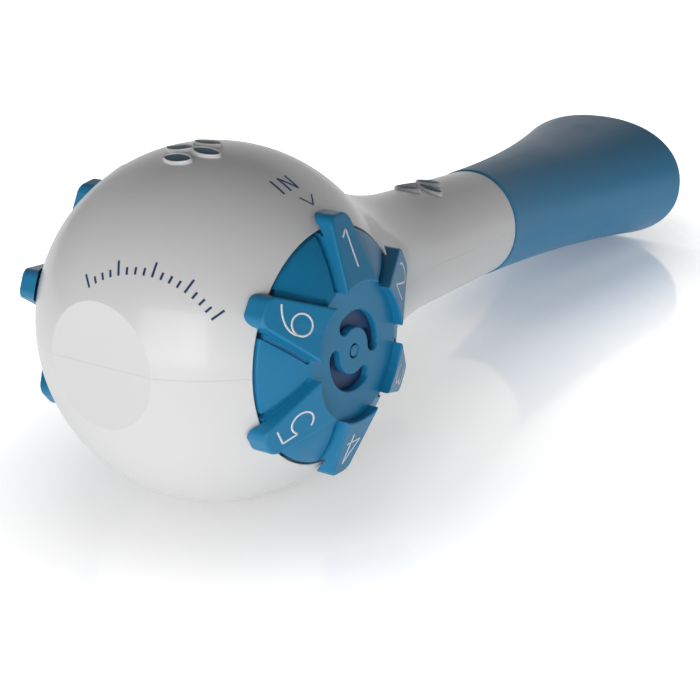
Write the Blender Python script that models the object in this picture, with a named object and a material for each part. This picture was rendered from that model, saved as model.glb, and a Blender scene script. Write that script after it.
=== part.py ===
"""Hand-held breathing trainer.

A hollow ball on a hollow handle, moulded as an upper and a lower shell. An
inhale dial and an exhale dial sit in round openings in the ball's two sides,
each over a ported seat with a lifting silicone disc. A round port at the end
of the handle carries a flared mouthpiece that pulls off for cleaning.

Metres, +Z up. The handle's axis runs along X, from the ball to the mouthpiece.
The origin is the centre of the object's box, which lies a little above that
axis because grip pads stand on the crown of the ball. Stations are distances
along X from the ball's centre. On a dial's axis, heights are distances from
the ball's centre outwards.
"""

import math

import bmesh
import bpy
from mathutils import Euler, Matrix, Vector

MM = 0.001

# Gaps between pieces that touch
SEAT_GAP = 0.3 * MM
PARTING_GAP = 0.3 * MM

# Ball, neck and handle
BALL_RADIUS = 33.0 * MM
SHELL_WALL = 2.0 * MM
FRONT_FLAT_DEPTH = 2.0 * MM
NECK_FILLET = 76.0 * MM
HANDLE_END_RADIUS = 12.2 * MM
HANDLE_TAPER = 0.027
HANDLE_END_STATION = 91.0 * MM
COLLAR_LENGTH = 13.0 * MM
COLLAR_WALL = 2.0 * MM

# Port tube held in the handle's end, a 22 mm breathing port
PORT_RADIUS = 11.0 * MM
PORT_LENGTH = 17.0 * MM
PORT_TUBE_LENGTH = 15.0 * MM
PORT_BORE_RADIUS = 8.5 * MM
PORT_TIP_CHAMFER = 0.8 * MM
PORT_FLANGE_WIDTH = 0.8 * MM
PORT_FLANGE_THICKNESS = 2.0 * MM
PORT_FLANGE_SETBACK = 5.0 * MM

# Seal ring in a groove round the port
PORT_SEAL_DEPTH = 1.1 * MM
PORT_SEAL_WIDTH = 1.8 * MM
PORT_SEAL_SETBACK = 6.0 * MM

# Mouthpiece
MOUTHPIECE_STEP = 0.25 * MM
MOUTHPIECE_LENGTH = 66.4 * MM
MOUTHPIECE_WALL = 1.6 * MM
RIM_HALF_WIDTH = 24.0 * MM
RIM_HALF_HEIGHT = 15.8 * MM
RIM_LIP = 1.3 * MM
WIDTH_FLARE_POWER = 1.5
HEIGHT_FLARE_POWER = 2.4
RIM_SQUARENESS = 2.2
MOUTHPIECE_STOP_LENGTH = 2.0 * MM
MOUTHPIECE_STOP_STEP = 0.7 * MM
MOUTHPIECE_THROAT_LENGTH = 4.8 * MM

# Dial
DIAL_RADIUS = 21.4 * MM
DIAL_OPENING_GAP = 0.5 * MM
DIAL_HUB_DROP = 2.5 * MM
DIAL_HUB_THICKNESS = 1.4 * MM
DIAL_WALL = 1.8 * MM
DIAL_SKIRT_WIDTH = 2.4 * MM
DIAL_WINDOW_INNER = 4.25 * MM
DIAL_WINDOW_OUTER = 7.2 * MM
DIAL_WINDOW_SPAN = math.radians(148.0)
DIAL_WINDOW_TURN = math.radians(30.0)
DIAL_SETTINGS = 6

# Finger lugs round the dial
LUG_INNER_RISE = 1.7 * MM
LUG_OVERHANG = 2.9 * MM
LUG_TOP_SLOPE = 0.49
LUG_INNER_HALF_WIDTH = 4.7 * MM
LUG_TIP_HALF_WIDTH = 2.85 * MM
LUG_CORNER_RADIUS = 1.4 * MM
LUG_HUB_LAP = 0.15 * MM
LUG_BALL_GAP = 0.5 * MM
LUG_TRACK_RISE = 0.1 * MM
LUG_TRACK_MARGIN = 0.6 * MM
LUG_ROOT_DEPTH = 1.0 * MM
LUG_CHANNEL_WIDTH = 0.9 * MM
LUG_CHANNEL_DEPTH = 0.6 * MM
LUG_CHANNEL_LAP = 0.15 * MM
LUG_EDGE_LAP = 0.25 * MM

# Valve pocket in the shells
POCKET_RIB_INSET = 3.0 * MM
POCKET_BOSS_WALL = 1.9 * MM
POCKET_RIB_THICKNESS = 1.1 * MM
POCKET_BOSS_MARGIN = 0.2 * MM
POCKET_DEPTH = 1.6 * MM

# Valve seat
SEAT_FLANGE_LAP = 2.4 * MM
SEAT_FLANGE_THICKNESS = 1.0 * MM
SEAT_DOME_GAP = 0.8 * MM
SEAT_WALL = 1.8 * MM
SEAT_PORT_INNER = 4.5 * MM
SEAT_PORT_OUTER = 7.0 * MM
SEAT_PORT_SPAN = math.radians(40.0)
SEAT_PORT_TURN = math.radians(85.0)
SEAT_BOSS_RADIUS = 2.6 * MM
EXHALE_WELL_DEPTH = 2.8 * MM
EXHALE_WELL_GAP = 0.4 * MM

# Seat gasket
GASKET_THICKNESS = 0.8 * MM

# Valve disc
DISC_LAP = 1.6 * MM
DISC_THICKNESS = 0.6 * MM
DISC_BEAD = 0.25 * MM
DISC_LIFT = 1.0 * MM

# Pivot pin through each dial
PIN_RADIUS = 1.0 * MM
PIN_FLANGE_RADIUS = 4.0 * MM
PIN_FLANGE_THICKNESS = 1.0 * MM

# Click stops between dial and seat
DETENT_NUB_RADIUS = 0.7 * MM
DETENT_NUB_LENGTH = 1.0 * MM
DETENT_CREST_GAP = 0.15 * MM
DETENT_SCALLOP_RADIUS = 1.1 * MM
DETENT_SCALLOP_DEPTH = 0.3 * MM

# Grip pads: raised bosses with soft inlays, in clusters of four
PAD_HALF_LENGTH = 2.35 * MM
PAD_HALF_WIDTH = 1.1 * MM
PAD_RIM = 0.4 * MM
PAD_RISE = 0.6 * MM
PAD_ROOT = 1.0 * MM
PAD_ROW_PITCH = 4.1 * MM
PAD_SIDE_OFFSET = 2.9 * MM
INLAY_THICKNESS = 0.7 * MM
INLAY_SINK = 0.1 * MM
CROWN_CLUSTER_STATION = -5.4 * MM
THUMB_CLUSTER_STATION = 68.5 * MM
FINGER_CLUSTER_STATION = 53.5 * MM

# The exhale dial's first setting stands this far from the top, towards the front
EXHALE_INDEX_TURN = math.radians(10.0)

# Facets
ROUND_STEPS = 36
MOUTHPIECE_STEPS = 40
MOUTHPIECE_OUTER_RINGS = 9
MOUTHPIECE_INNER_RINGS = 6
SMALL_STEPS = 24
PAD_STEPS = 12
ARC_STEP = math.radians(10.0)
NECK_STEP = math.radians(6.0)
CORNER_STEP = math.radians(30.0)
SMALL_ARC_STEP = math.radians(45.0)
DOME_STEPS = 3
UNDER_STEPS = 2
CHANNEL_FLOOR_STEPS = 8
LUG_ARC_STEPS = 3
LUG_FLOOR_STEPS = 4
CUTTER_REACH_ANGLE = math.radians(60.0)
PAD_POWER = 1.15

# Colours of the mouldings
WHITE = (0.78, 0.78, 0.79)
DIAL_BLUE = (0.022, 0.125, 0.235)
MOUTHPIECE_BLUE = (0.035, 0.16, 0.28)
SEAT_NAVY = (0.03, 0.05, 0.12)
INLAY_BLUE = (0.01, 0.07, 0.13)
SILICONE = (0.55, 0.58, 0.60)
SEAL_BLACK = (0.03, 0.03, 0.035)

# Sizes that follow from the ones above
FRONT_FLAT_STATION = FRONT_FLAT_DEPTH - BALL_RADIUS
COLLAR_BORE_RADIUS = HANDLE_END_RADIUS - COLLAR_WALL
PORT_FLANGE_RADIUS = COLLAR_BORE_RADIUS + PORT_FLANGE_WIDTH
PORT_TUBE_RADIUS = COLLAR_BORE_RADIUS - SEAT_GAP
SOCKET_RADIUS = PORT_RADIUS + SEAT_GAP
MOUTHPIECE_START_RADIUS = HANDLE_END_RADIUS + MOUTHPIECE_STEP
MOUTHPIECE_STOP_RADIUS = PORT_BORE_RADIUS + MOUTHPIECE_STOP_STEP
RIM_STATION = HANDLE_END_STATION + SEAT_GAP + MOUTHPIECE_LENGTH
BALL_CENTRE_X = -(FRONT_FLAT_STATION + RIM_STATION) / 2
DIAL_HUB_HEIGHT = BALL_RADIUS - DIAL_HUB_DROP
DIAL_OPENING_RADIUS = DIAL_RADIUS + DIAL_OPENING_GAP
LUG_TIP_RADIUS = DIAL_RADIUS + LUG_OVERHANG
POCKET_RIB_RADIUS = DIAL_RADIUS - POCKET_RIB_INSET
HUB_RADIUS = math.sqrt(BALL_RADIUS ** 2 - DIAL_HUB_HEIGHT ** 2)
POCKET_TOP_HEIGHT = math.sqrt(BALL_RADIUS ** 2 - DIAL_OPENING_RADIUS ** 2) - POCKET_DEPTH
SEAT_NECK_RADIUS = POCKET_RIB_RADIUS - SEAT_GAP
SEAT_FLANGE_RADIUS = POCKET_RIB_RADIUS + SEAT_FLANGE_LAP
SEAT_DOME_RADIUS = BALL_RADIUS - DIAL_WALL - SEAT_DOME_GAP
POCKET_BOSS_RADIUS = SEAT_FLANGE_RADIUS + SEAT_GAP + POCKET_BOSS_WALL
DISC_RADIUS = SEAT_PORT_OUTER + DISC_LAP
EXHALE_WELL_RADIUS = DISC_RADIUS + EXHALE_WELL_GAP
SEAT_TOP_HEIGHT = DIAL_HUB_HEIGHT - DIAL_HUB_THICKNESS - SEAT_GAP
POCKET_GROOVE_TOP = POCKET_TOP_HEIGHT - POCKET_RIB_THICKNESS
GASKET_TOP = POCKET_GROOVE_TOP - SEAT_GAP
SEAT_FLANGE_TOP = GASKET_TOP - GASKET_THICKNESS - SEAT_GAP
SEAT_FLANGE_BOTTOM = SEAT_FLANGE_TOP - SEAT_FLANGE_THICKNESS
POCKET_GROOVE_BOTTOM = SEAT_FLANGE_BOTTOM - SEAT_GAP
POCKET_BOTTOM_HEIGHT = POCKET_GROOVE_BOTTOM - POCKET_RIB_THICKNESS
DIAL_BOTTOM_HEIGHT = POCKET_TOP_HEIGHT + SEAT_GAP


# Meshes and objects

def clear_scene():
    for old in list(bpy.data.objects):
        bpy.data.objects.remove(old, do_unlink=True)


def moulding_material(name, colour, roughness, coat=0.0):
    material = bpy.data.materials.new(name)
    material.use_nodes = True
    shader = material.node_tree.nodes["Principled BSDF"]
    shader.inputs["Base Color"].default_value = (*colour, 1.0)
    shader.inputs["Roughness"].default_value = roughness
    shader.inputs["Metallic"].default_value = 0.0
    shader.inputs["Coat Weight"].default_value = coat
    material.diffuse_color = (*colour, 1.0)
    return material


def make_object(name, mesh_builder, parent, material=None, smooth_angle=math.radians(30.0)):
    """Turn a bmesh into a named object under a parent, shaded smooth."""
    bmesh.ops.recalc_face_normals(mesh_builder, faces=mesh_builder.faces)
    mesh = bpy.data.meshes.new(name)
    mesh_builder.to_mesh(mesh)
    mesh_builder.free()
    mesh.shade_smooth()
    mesh.set_sharp_from_angle(angle=smooth_angle)
    if material:
        mesh.materials.append(material)
    result = bpy.data.objects.new(name, mesh)
    bpy.context.collection.objects.link(result)
    result.parent = parent
    return result


def make_cutter(name, mesh_builder, parent):
    cutter = make_object(name, mesh_builder, parent)
    cutter.hide_render = True
    cutter.display_type = "WIRE"
    return cutter


def add_boolean(target, tool, operation, solver="EXACT"):
    modifier = target.modifiers.new(tool.name, "BOOLEAN")
    modifier.operation = operation
    modifier.object = tool
    modifier.solver = solver


def make_axis(name, parent, location=(0, 0, 0), rotation=(0, 0, 0)):
    axis = bpy.data.objects.new(name, None)
    bpy.context.collection.objects.link(axis)
    axis.parent = parent
    axis.location = location
    axis.rotation_euler = rotation
    return axis


def turned(outline, axis, steps=ROUND_STEPS, half_step=False):
    """Spin a closed outline of (distance along axis, radius) about X or Z.

    half_step sets its facets between those of a shape that it cuts or joins.
    """
    shape = bmesh.new()
    if axis == "X":
        points = [Vector((along, 0, radius)) for along, radius in outline]
        direction = Vector((1, 0, 0))
    else:
        points = [Vector((radius, 0, along)) for along, radius in outline]
        direction = Vector((0, 0, 1))
    verts = [shape.verts.new(point) for point in points]
    on_axis = [radius < 1e-9 for along, radius in outline]
    edges = [shape.edges.new((verts[i - 1], verts[i]))
             for i in range(len(verts)) if not (on_axis[i - 1] and on_axis[i])]
    bmesh.ops.spin(shape, geom=verts + edges, cent=(0, 0, 0), axis=direction,
                   angle=2 * math.pi, steps=steps, use_merge=True)
    bmesh.ops.remove_doubles(shape, verts=shape.verts, dist=1e-7)
    if half_step:
        shape.transform(Matrix.Rotation(math.pi / steps, 4, direction))
    return shape


def prism(outlines, low, high):
    """Extrude closed outlines in the XY plane from one height to another."""
    shape = bmesh.new()
    for outline in outlines:
        face = shape.faces.new([shape.verts.new((x, y, low)) for x, y in outline])
        lifted = bmesh.ops.extrude_face_region(shape, geom=[face])["geom"]
        moved = [item for item in lifted if isinstance(item, bmesh.types.BMVert)]
        bmesh.ops.translate(shape, verts=moved, vec=(0, 0, high - low))
    return shape


def skin_rings(rings):
    """Join a closed series of equal rings of points with quads."""
    shape = bmesh.new()
    loops = [[shape.verts.new(point) for point in ring] for ring in rings]
    for index, loop in enumerate(loops):
        before = loops[index - 1]
        for j in range(len(loop)):
            shape.faces.new((before[j - 1], before[j], loop[j], loop[j - 1]))
    return shape


# Curves

def arc(centre, radius, start, end, step=ARC_STEP):
    """Points on an arc, angles counted from the first axis to the second."""
    count = max(2, math.ceil(abs(end - start) / step))
    angles = [start + (end - start) * i / count for i in range(count + 1)]
    return [(centre[0] + radius * math.cos(a), centre[1] + radius * math.sin(a)) for a in angles]


def circle(centre, radius):
    return arc(centre, radius, 0, 2 * math.pi, SMALL_ARC_STEP)[:-1]


def spread(start, end, steps):
    """Evenly spaced values from start to end."""
    return [start + (end - start) * i / steps for i in range(steps + 1)]


def sphere_arc(sphere, start, end, steps):
    """Points of (height, radius) on a sphere, angles counted from its axis."""
    return [(sphere * math.cos(a), sphere * math.sin(a)) for a in spread(start, end, steps)]


def sphere_height(radius, sphere):
    return math.sqrt(sphere ** 2 - radius ** 2)


def polar(radius, angle):
    """Dial coordinates: angles clockwise from the top, seen from outside."""
    return (radius * math.sin(angle), radius * math.cos(angle))


def arc_slot(inner, outer, centre_angle, span, end_steps=6):
    """Outline of a curved slot with round ends; span counts the ends."""
    middle = (inner + outer) / 2
    half_width = (outer - inner) / 2
    half_span = span / 2 - half_width / middle
    sweep = spread(centre_angle - half_span, centre_angle + half_span, math.ceil(span / ARC_STEP))
    outline = [polar(outer, angle) for angle in sweep]
    outline += slot_end(middle, half_width, sweep[-1], end_steps, 1)
    outline += [polar(inner, angle) for angle in reversed(sweep)]
    outline += slot_end(middle, half_width, sweep[0], end_steps, -1)
    return outline


def slot_end(middle, half_width, angle, steps, side):
    """Points of one round end, between the slot's outer and inner edges."""
    centre = Vector(polar(middle, angle))
    outward = Vector(polar(1, angle))
    along = Vector((outward.y, -outward.x)) * side
    turns = [math.pi * i / steps for i in range(1, steps)]
    if side < 0:
        turns.reverse()
    points = [centre + half_width * (outward * math.cos(t) + along * math.sin(t)) for t in turns]
    return [tuple(point) for point in points]


# Ball, neck and handle

def handle_radius(station, inset=0.0):
    return HANDLE_END_RADIUS + HANDLE_TAPER * (HANDLE_END_STATION - station) - inset


def neck_centre(inset=0.0):
    """Centre of the hollow fillet that joins the ball to the tapered handle."""
    slope = math.hypot(1, HANDLE_TAPER)
    fillet = NECK_FILLET + inset
    start = Vector((0, handle_radius(0, inset) + fillet * slope))
    along = Vector((1, -HANDLE_TAPER)) / slope
    reach = BALL_RADIUS - inset + fillet
    middle = -start.dot(along)
    half = math.sqrt(middle ** 2 - start.length_squared + reach ** 2)
    return start + along * (middle + half)


def neck_arc(inset=0.0):
    centre = neck_centre(inset)
    fillet = NECK_FILLET + inset
    from_ball = math.atan2(-centre.y, -centre.x)
    to_handle = math.atan2(-1, -HANDLE_TAPER)
    return arc(centre, fillet, from_ball, to_handle, NECK_STEP)


def body_outline(inset=0.0):
    """Outline of the ball, neck and handle, from the front to the handle's end."""
    radius = BALL_RADIUS - inset
    front = FRONT_FLAT_STATION + inset
    neck = neck_arc(inset)
    start = math.acos(front / radius)
    end = math.atan2(neck[0][1], neck[0][0])
    ball = arc((0, 0), radius, start, end)
    return [(front, 0)] + ball[:-1] + neck


def body_surface_radius(station):
    """Outer radius of the ball, neck or handle at a station."""
    neck = neck_arc()
    if station <= neck[0][0]:
        return sphere_height(station, BALL_RADIUS)
    if station >= neck[-1][0]:
        return handle_radius(station)
    centre = neck_centre()
    return centre.y - math.sqrt(NECK_FILLET ** 2 - (station - centre.x) ** 2)


def outer_body():
    end = HANDLE_END_STATION
    return turned(body_outline() + [(end, handle_radius(end)), (end, 0)], "X")


def airway():
    """The hollow inside the ball and handle, with the bore of the end collar."""
    collar = HANDLE_END_STATION - COLLAR_LENGTH
    outline = body_outline(SHELL_WALL)
    outline += [(collar - SHELL_WALL, handle_radius(collar, SHELL_WALL)), (collar, COLLAR_BORE_RADIUS)]
    outline += flange_groove()
    beyond = HANDLE_END_STATION + SHELL_WALL
    outline += [(beyond, COLLAR_BORE_RADIUS), (beyond, 0)]
    return turned(outline, "X", SMALL_STEPS, half_step=True)


def flange_groove():
    """Outline of the groove in the collar that holds the port tube's flange."""
    high = HANDLE_END_STATION - PORT_FLANGE_SETBACK + SEAT_GAP
    low = high - PORT_FLANGE_THICKNESS - 2 * SEAT_GAP
    radius = PORT_FLANGE_RADIUS + SEAT_GAP
    return [(low, COLLAR_BORE_RADIUS), (low, radius), (high, radius), (high, COLLAR_BORE_RADIUS)]


def pocket_boss():
    """Ring round the valve axis that carries the groove for the seat."""
    inner = POCKET_RIB_RADIUS - SHELL_WALL
    top = POCKET_TOP_HEIGHT + POCKET_BOSS_MARGIN
    return turned([(POCKET_BOTTOM_HEIGHT, inner), (POCKET_BOTTOM_HEIGHT, POCKET_BOSS_RADIUS),
                   (top, POCKET_BOSS_RADIUS), (top, inner)], "Z", half_step=True)


def pocket_cut():
    """Everything that the dial, the seat and its gasket need cleared."""
    groove = SEAT_FLANGE_RADIUS + SEAT_GAP
    opening = DIAL_OPENING_RADIUS
    below = POCKET_BOTTOM_HEIGHT - SHELL_WALL
    above = BALL_RADIUS + SHELL_WALL
    return turned([(below, 0), (below, POCKET_RIB_RADIUS), (POCKET_GROOVE_BOTTOM, POCKET_RIB_RADIUS),
                   (POCKET_GROOVE_BOTTOM, groove), (POCKET_GROOVE_TOP, groove),
                   (POCKET_GROOVE_TOP, POCKET_RIB_RADIUS), (POCKET_TOP_HEIGHT, POCKET_RIB_RADIUS),
                   (POCKET_TOP_HEIGHT, opening), (above, opening), (above, 0)], "Z")


def lug_track():
    """Relief in the neck fillet that the lugs pass through as the dial turns."""
    sphere = BALL_RADIUS + LUG_TRACK_RISE
    inner = DIAL_RADIUS
    outer = LUG_TIP_RADIUS + LUG_TRACK_MARGIN
    outline = [(sphere_height(radius, sphere), radius) for radius in spread(inner, outer, 2)]
    outline += [(BALL_RADIUS, outer), (BALL_RADIUS, inner)]
    return turned(outline, "Z", 2 * ROUND_STEPS, half_step=True)


def half_space(side):
    """A block that covers the object above (+1) or below (-1) the parting plane."""
    reach = RIM_STATION * 2
    low, high = sorted((side * PARTING_GAP / 2, side * BALL_RADIUS * 2))
    return prism([[(-reach, -reach), (reach, -reach), (reach, reach), (-reach, reach)]], low, high)


# Grip pads

def pad_outline(margin=0.0):
    """Lozenge with soft corners, long across the handle."""
    outline = []
    for i in range(PAD_STEPS):
        angle = 2 * math.pi * (i + 0.5) / PAD_STEPS
        x = math.copysign(abs(math.cos(angle)) ** PAD_POWER, math.cos(angle))
        y = math.copysign(abs(math.sin(angle)) ** PAD_POWER, math.sin(angle))
        outline.append(((PAD_HALF_WIDTH + margin) * x, (PAD_HALF_LENGTH + margin) * y))
    return outline


def clusters(side):
    """Names and stations of the pad clusters on the upper (+1) or lower (-1) shell."""
    if side > 0:
        return [("ball_top", CROWN_CLUSTER_STATION), ("handle_top", THUMB_CLUSTER_STATION)]
    return [("handle_under", FINGER_CLUSTER_STATION)]


def pad_places(cluster_station, side):
    """Matrices that put a pad's XY plane on the body, in a rhombus of four."""
    places = []
    for row, lateral in ((-1, 0.0), (0, -PAD_SIDE_OFFSET), (0, PAD_SIDE_OFFSET), (1, 0.0)):
        station = cluster_station + row * PAD_ROW_PITCH
        radius = body_surface_radius(station)
        ahead = body_surface_radius(station + MM)
        pitch = math.atan2(radius - ahead, MM)
        roll = lateral / radius
        turn = Matrix.Rotation(-roll, 4, "X") @ Matrix.Translation((station, 0, radius))
        tilt = Matrix.Rotation(pitch, 4, "Y")
        flip = Matrix.Rotation(math.pi, 4, "X") if side < 0 else Matrix.Identity(4)
        places.append(flip @ turn @ tilt)
    return places


def crown_rise():
    """How far the pads on the crown stand above the ball."""
    places = pad_places(CROWN_CLUSTER_STATION, 1)
    tops = [(place @ Vector((x, y, PAD_RISE))).z for place in places for x, y in pad_outline(PAD_RIM)]
    return max(tops) - BALL_RADIUS


def placed_prisms(places, outline, low, high):
    shape = bmesh.new()
    for place in places:
        one = prism([outline], low, high)
        one.transform(place)
        mesh = bpy.data.meshes.new("one_pad")
        one.to_mesh(mesh)
        one.free()
        shape.from_mesh(mesh)
        bpy.data.meshes.remove(mesh)
    return shape


def make_shell(name, side, centre, valve_axes, material):
    """One shell: hollow body, valve pockets and pad bosses, cut at the parting plane."""
    shell = make_object(name, outer_body(), centre, material)
    places = [place for _, station in clusters(side) for place in pad_places(station, side)]
    bosses = placed_prisms(places, pad_outline(PAD_RIM), -PAD_ROOT, PAD_RISE)
    add_boolean(shell, make_cutter(name + "_pads", bosses, centre), "UNION", "MANIFOLD")
    floor = PAD_RISE - INLAY_SINK - INLAY_THICKNESS - SEAT_GAP
    recesses = placed_prisms(places, pad_outline(SEAT_GAP / 2), floor, PAD_RISE * 2)
    add_boolean(shell, make_cutter(name + "_pad_recesses", recesses, centre), "DIFFERENCE", "MANIFOLD")
    add_boolean(shell, make_cutter(name + "_airway", airway(), centre), "DIFFERENCE", "MANIFOLD")
    for axis in valve_axes:
        boss = make_cutter(name + "_" + axis.name + "_boss", pocket_boss(), axis)
        add_boolean(shell, boss, "UNION", "MANIFOLD")
        pocket = make_cutter(name + "_" + axis.name + "_pocket", pocket_cut(), axis)
        add_boolean(shell, pocket, "DIFFERENCE", "MANIFOLD")
        track = make_cutter(name + "_" + axis.name + "_track", lug_track(), axis)
        add_boolean(shell, track, "DIFFERENCE", "MANIFOLD")
    add_boolean(shell, make_cutter(name + "_half", half_space(side), centre), "INTERSECT", "MANIFOLD")
    return shell


def make_inlays(centre, material):
    """Soft inlays in the pad recesses, one object each."""
    top = PAD_RISE - INLAY_SINK
    for side in (1, -1):
        for cluster_name, station in clusters(side):
            for index, place in enumerate(pad_places(station, side), start=1):
                name = "grip_inlay_{}_{}".format(cluster_name, index)
                shape = prism([pad_outline(-SEAT_GAP / 2)], top - INLAY_THICKNESS, top)
                inlay = make_object(name, shape, centre, material)
                inlay.matrix_local = place


# Port tube, its seal and the mouthpiece

def make_port_tube(centre, material):
    """Tube with a flange gripped by the collar and a port that stands out of it."""
    start = HANDLE_END_STATION - PORT_TUBE_LENGTH
    flange_high = HANDLE_END_STATION - PORT_FLANGE_SETBACK
    flange_low = flange_high - PORT_FLANGE_THICKNESS
    shoulder = HANDLE_END_STATION + SEAT_GAP
    tip = shoulder + PORT_LENGTH
    seal_high = tip - PORT_SEAL_SETBACK + SEAT_GAP
    seal_low = seal_high - PORT_SEAL_WIDTH - 2 * SEAT_GAP
    seal_floor = PORT_RADIUS - PORT_SEAL_DEPTH - SEAT_GAP
    outline = [(start, PORT_BORE_RADIUS), (start, PORT_TUBE_RADIUS),
               (flange_low, PORT_TUBE_RADIUS), (flange_low, PORT_FLANGE_RADIUS),
               (flange_high, PORT_FLANGE_RADIUS), (flange_high, PORT_TUBE_RADIUS),
               (shoulder, PORT_TUBE_RADIUS), (shoulder, PORT_RADIUS),
               (seal_low, PORT_RADIUS), (seal_low, seal_floor),
               (seal_high, seal_floor), (seal_high, PORT_RADIUS),
               (tip - PORT_TIP_CHAMFER, PORT_RADIUS), (tip, PORT_RADIUS - PORT_TIP_CHAMFER),
               (tip, PORT_BORE_RADIUS)]
    return make_object("port_tube", turned(outline, "X"), centre, material)


def make_port_seal(centre, material):
    tip = HANDLE_END_STATION + SEAT_GAP + PORT_LENGTH
    high = tip - PORT_SEAL_SETBACK
    low = high - PORT_SEAL_WIDTH
    inner = PORT_RADIUS - PORT_SEAL_DEPTH
    round_off = PORT_SEAL_DEPTH / 3
    outline = [(low, inner), (low, PORT_RADIUS - round_off), (low + round_off, PORT_RADIUS),
               (high - round_off, PORT_RADIUS), (high, PORT_RADIUS - round_off), (high, inner)]
    return make_object("port_seal", turned(outline, "X"), centre, material)


def mouthpiece_ring(station, inset=0.0, round_radius=None):
    """Section of the mouthpiece: round at the port, a wide oval at the rim."""
    share = min(max(station / MOUTHPIECE_LENGTH, 0.0), 1.0)
    start = MOUTHPIECE_START_RADIUS
    width = start + (RIM_HALF_WIDTH - start) * share ** WIDTH_FLARE_POWER - inset
    height = start + (RIM_HALF_HEIGHT - start) * share ** HEIGHT_FLARE_POWER - inset
    if round_radius:
        width = height = round_radius
    power = 2 / (2 + (RIM_SQUARENESS - 2) * share)
    ring = []
    for i in range(MOUTHPIECE_STEPS):
        angle = 2 * math.pi * i / MOUTHPIECE_STEPS
        y = math.copysign(abs(math.cos(angle)) ** power, math.cos(angle)) * width
        z = math.copysign(abs(math.sin(angle)) ** power, math.sin(angle)) * height
        ring.append((station, y, z))
    return ring


def make_mouthpiece(centre, material):
    """Flared mouthpiece with a socket for the port and a rolled lip at the rim."""
    socket_end = PORT_LENGTH + SEAT_GAP
    stop_end = socket_end + MOUTHPIECE_STOP_LENGTH
    flare_start = stop_end + MOUTHPIECE_THROAT_LENGTH
    straight = MOUTHPIECE_LENGTH - RIM_LIP / 2
    outer = spread(0.0, straight, MOUTHPIECE_OUTER_RINGS)
    inner = spread(flare_start, straight, MOUTHPIECE_INNER_RINGS)
    rings = [mouthpiece_ring(station) for station in outer]
    for angle in (45, 90, 135):
        turn = math.radians(angle)
        rings.append(mouthpiece_ring(straight + RIM_LIP / 2 * math.sin(turn),
                                     RIM_LIP / 2 * (1 - math.cos(turn))))
    rings += [mouthpiece_ring(station, MOUTHPIECE_WALL) for station in reversed(inner)]
    rings.append(mouthpiece_ring(stop_end, round_radius=MOUTHPIECE_STOP_RADIUS))
    rings.append(mouthpiece_ring(socket_end, round_radius=MOUTHPIECE_STOP_RADIUS))
    rings.append(mouthpiece_ring(socket_end, round_radius=SOCKET_RADIUS))
    rings.append(mouthpiece_ring(0.0, round_radius=SOCKET_RADIUS))
    mouthpiece = make_object("mouthpiece", skin_rings(rings), centre, material)
    mouthpiece.location = (HANDLE_END_STATION + SEAT_GAP, 0, 0)
    return mouthpiece


# Dial

def lug_half_width(radius):
    share = (radius - HUB_RADIUS) / (LUG_TIP_RADIUS - HUB_RADIUS)
    return LUG_INNER_HALF_WIDTH + (LUG_TIP_HALF_WIDTH - LUG_INNER_HALF_WIDTH) * share


def lug_top(radius):
    """Height of a lug's sloping top along its own centre line."""
    return DIAL_HUB_HEIGHT + LUG_INNER_RISE - LUG_TOP_SLOPE * (radius - HUB_RADIUS)


def lug_angles():
    return [2 * math.pi * i / DIAL_SETTINGS for i in range(DIAL_SETTINGS)]


def lug_outline():
    """A lug that points along +Y: arc round the hub, straight sides, round corners."""
    start = HUB_RADIUS - LUG_HUB_LAP
    half = math.asin(LUG_INNER_HALF_WIDTH / start)
    inner = [polar(start, angle) for angle in spread(half, -half, LUG_ARC_STEPS)]
    corner = LUG_CORNER_RADIUS
    side = LUG_TIP_HALF_WIDTH - corner
    top = LUG_TIP_RADIUS - corner
    tip_left = arc((-side, top), corner, math.pi, math.pi / 2, CORNER_STEP)
    tip_right = arc((side, top), corner, math.pi / 2, 0, CORNER_STEP)
    return inner + tip_left + tip_right


def channel_outline(side):
    """A narrow channel beside a lug that points along +Y, round at the hub."""
    hidden = LUG_CHANNEL_LAP
    start = HUB_RADIUS + LUG_CHANNEL_WIDTH
    end = LUG_TIP_RADIUS
    near = [(lug_half_width(start) - hidden, start), (lug_half_width(end) - hidden, end)]
    far = [(lug_half_width(end) + LUG_CHANNEL_WIDTH, end),
           (lug_half_width(start) + LUG_CHANNEL_WIDTH, start)]
    middle = (near[0][0] + far[-1][0]) / 2
    half = (far[-1][0] - near[0][0]) / 2
    round_end = arc((middle, start), half, 0, -math.pi, SMALL_ARC_STEP)[1:-1]
    outline = near + far + round_end
    return [(side * x, y) for x, y in outline][::side]


def turned_copies(outline, angles):
    """Copies of an outline turned clockwise about the dial's axis."""
    copies = []
    for angle in angles:
        cos, sin = math.cos(angle), math.sin(angle)
        copies.append([(x * cos + y * sin, y * cos - x * sin) for x, y in outline])
    return copies


def lugs_shape():
    """All the lugs, with tops that slope down towards their tips."""
    top = DIAL_HUB_HEIGHT + LUG_INNER_RISE * 2
    shape = prism(turned_copies(lug_outline(), lug_angles()), POCKET_BOTTOM_HEIGHT, top)
    for vert in shape.verts:
        if vert.co.z > DIAL_HUB_HEIGHT:
            angle = math.atan2(vert.co.x, vert.co.y)
            nearest = min(lug_angles(), key=lambda a: -math.cos(a - angle))
            reach = math.hypot(vert.co.x, vert.co.y) * math.cos(angle - nearest)
            vert.co.z = lug_top(reach)
    return shape


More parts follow.
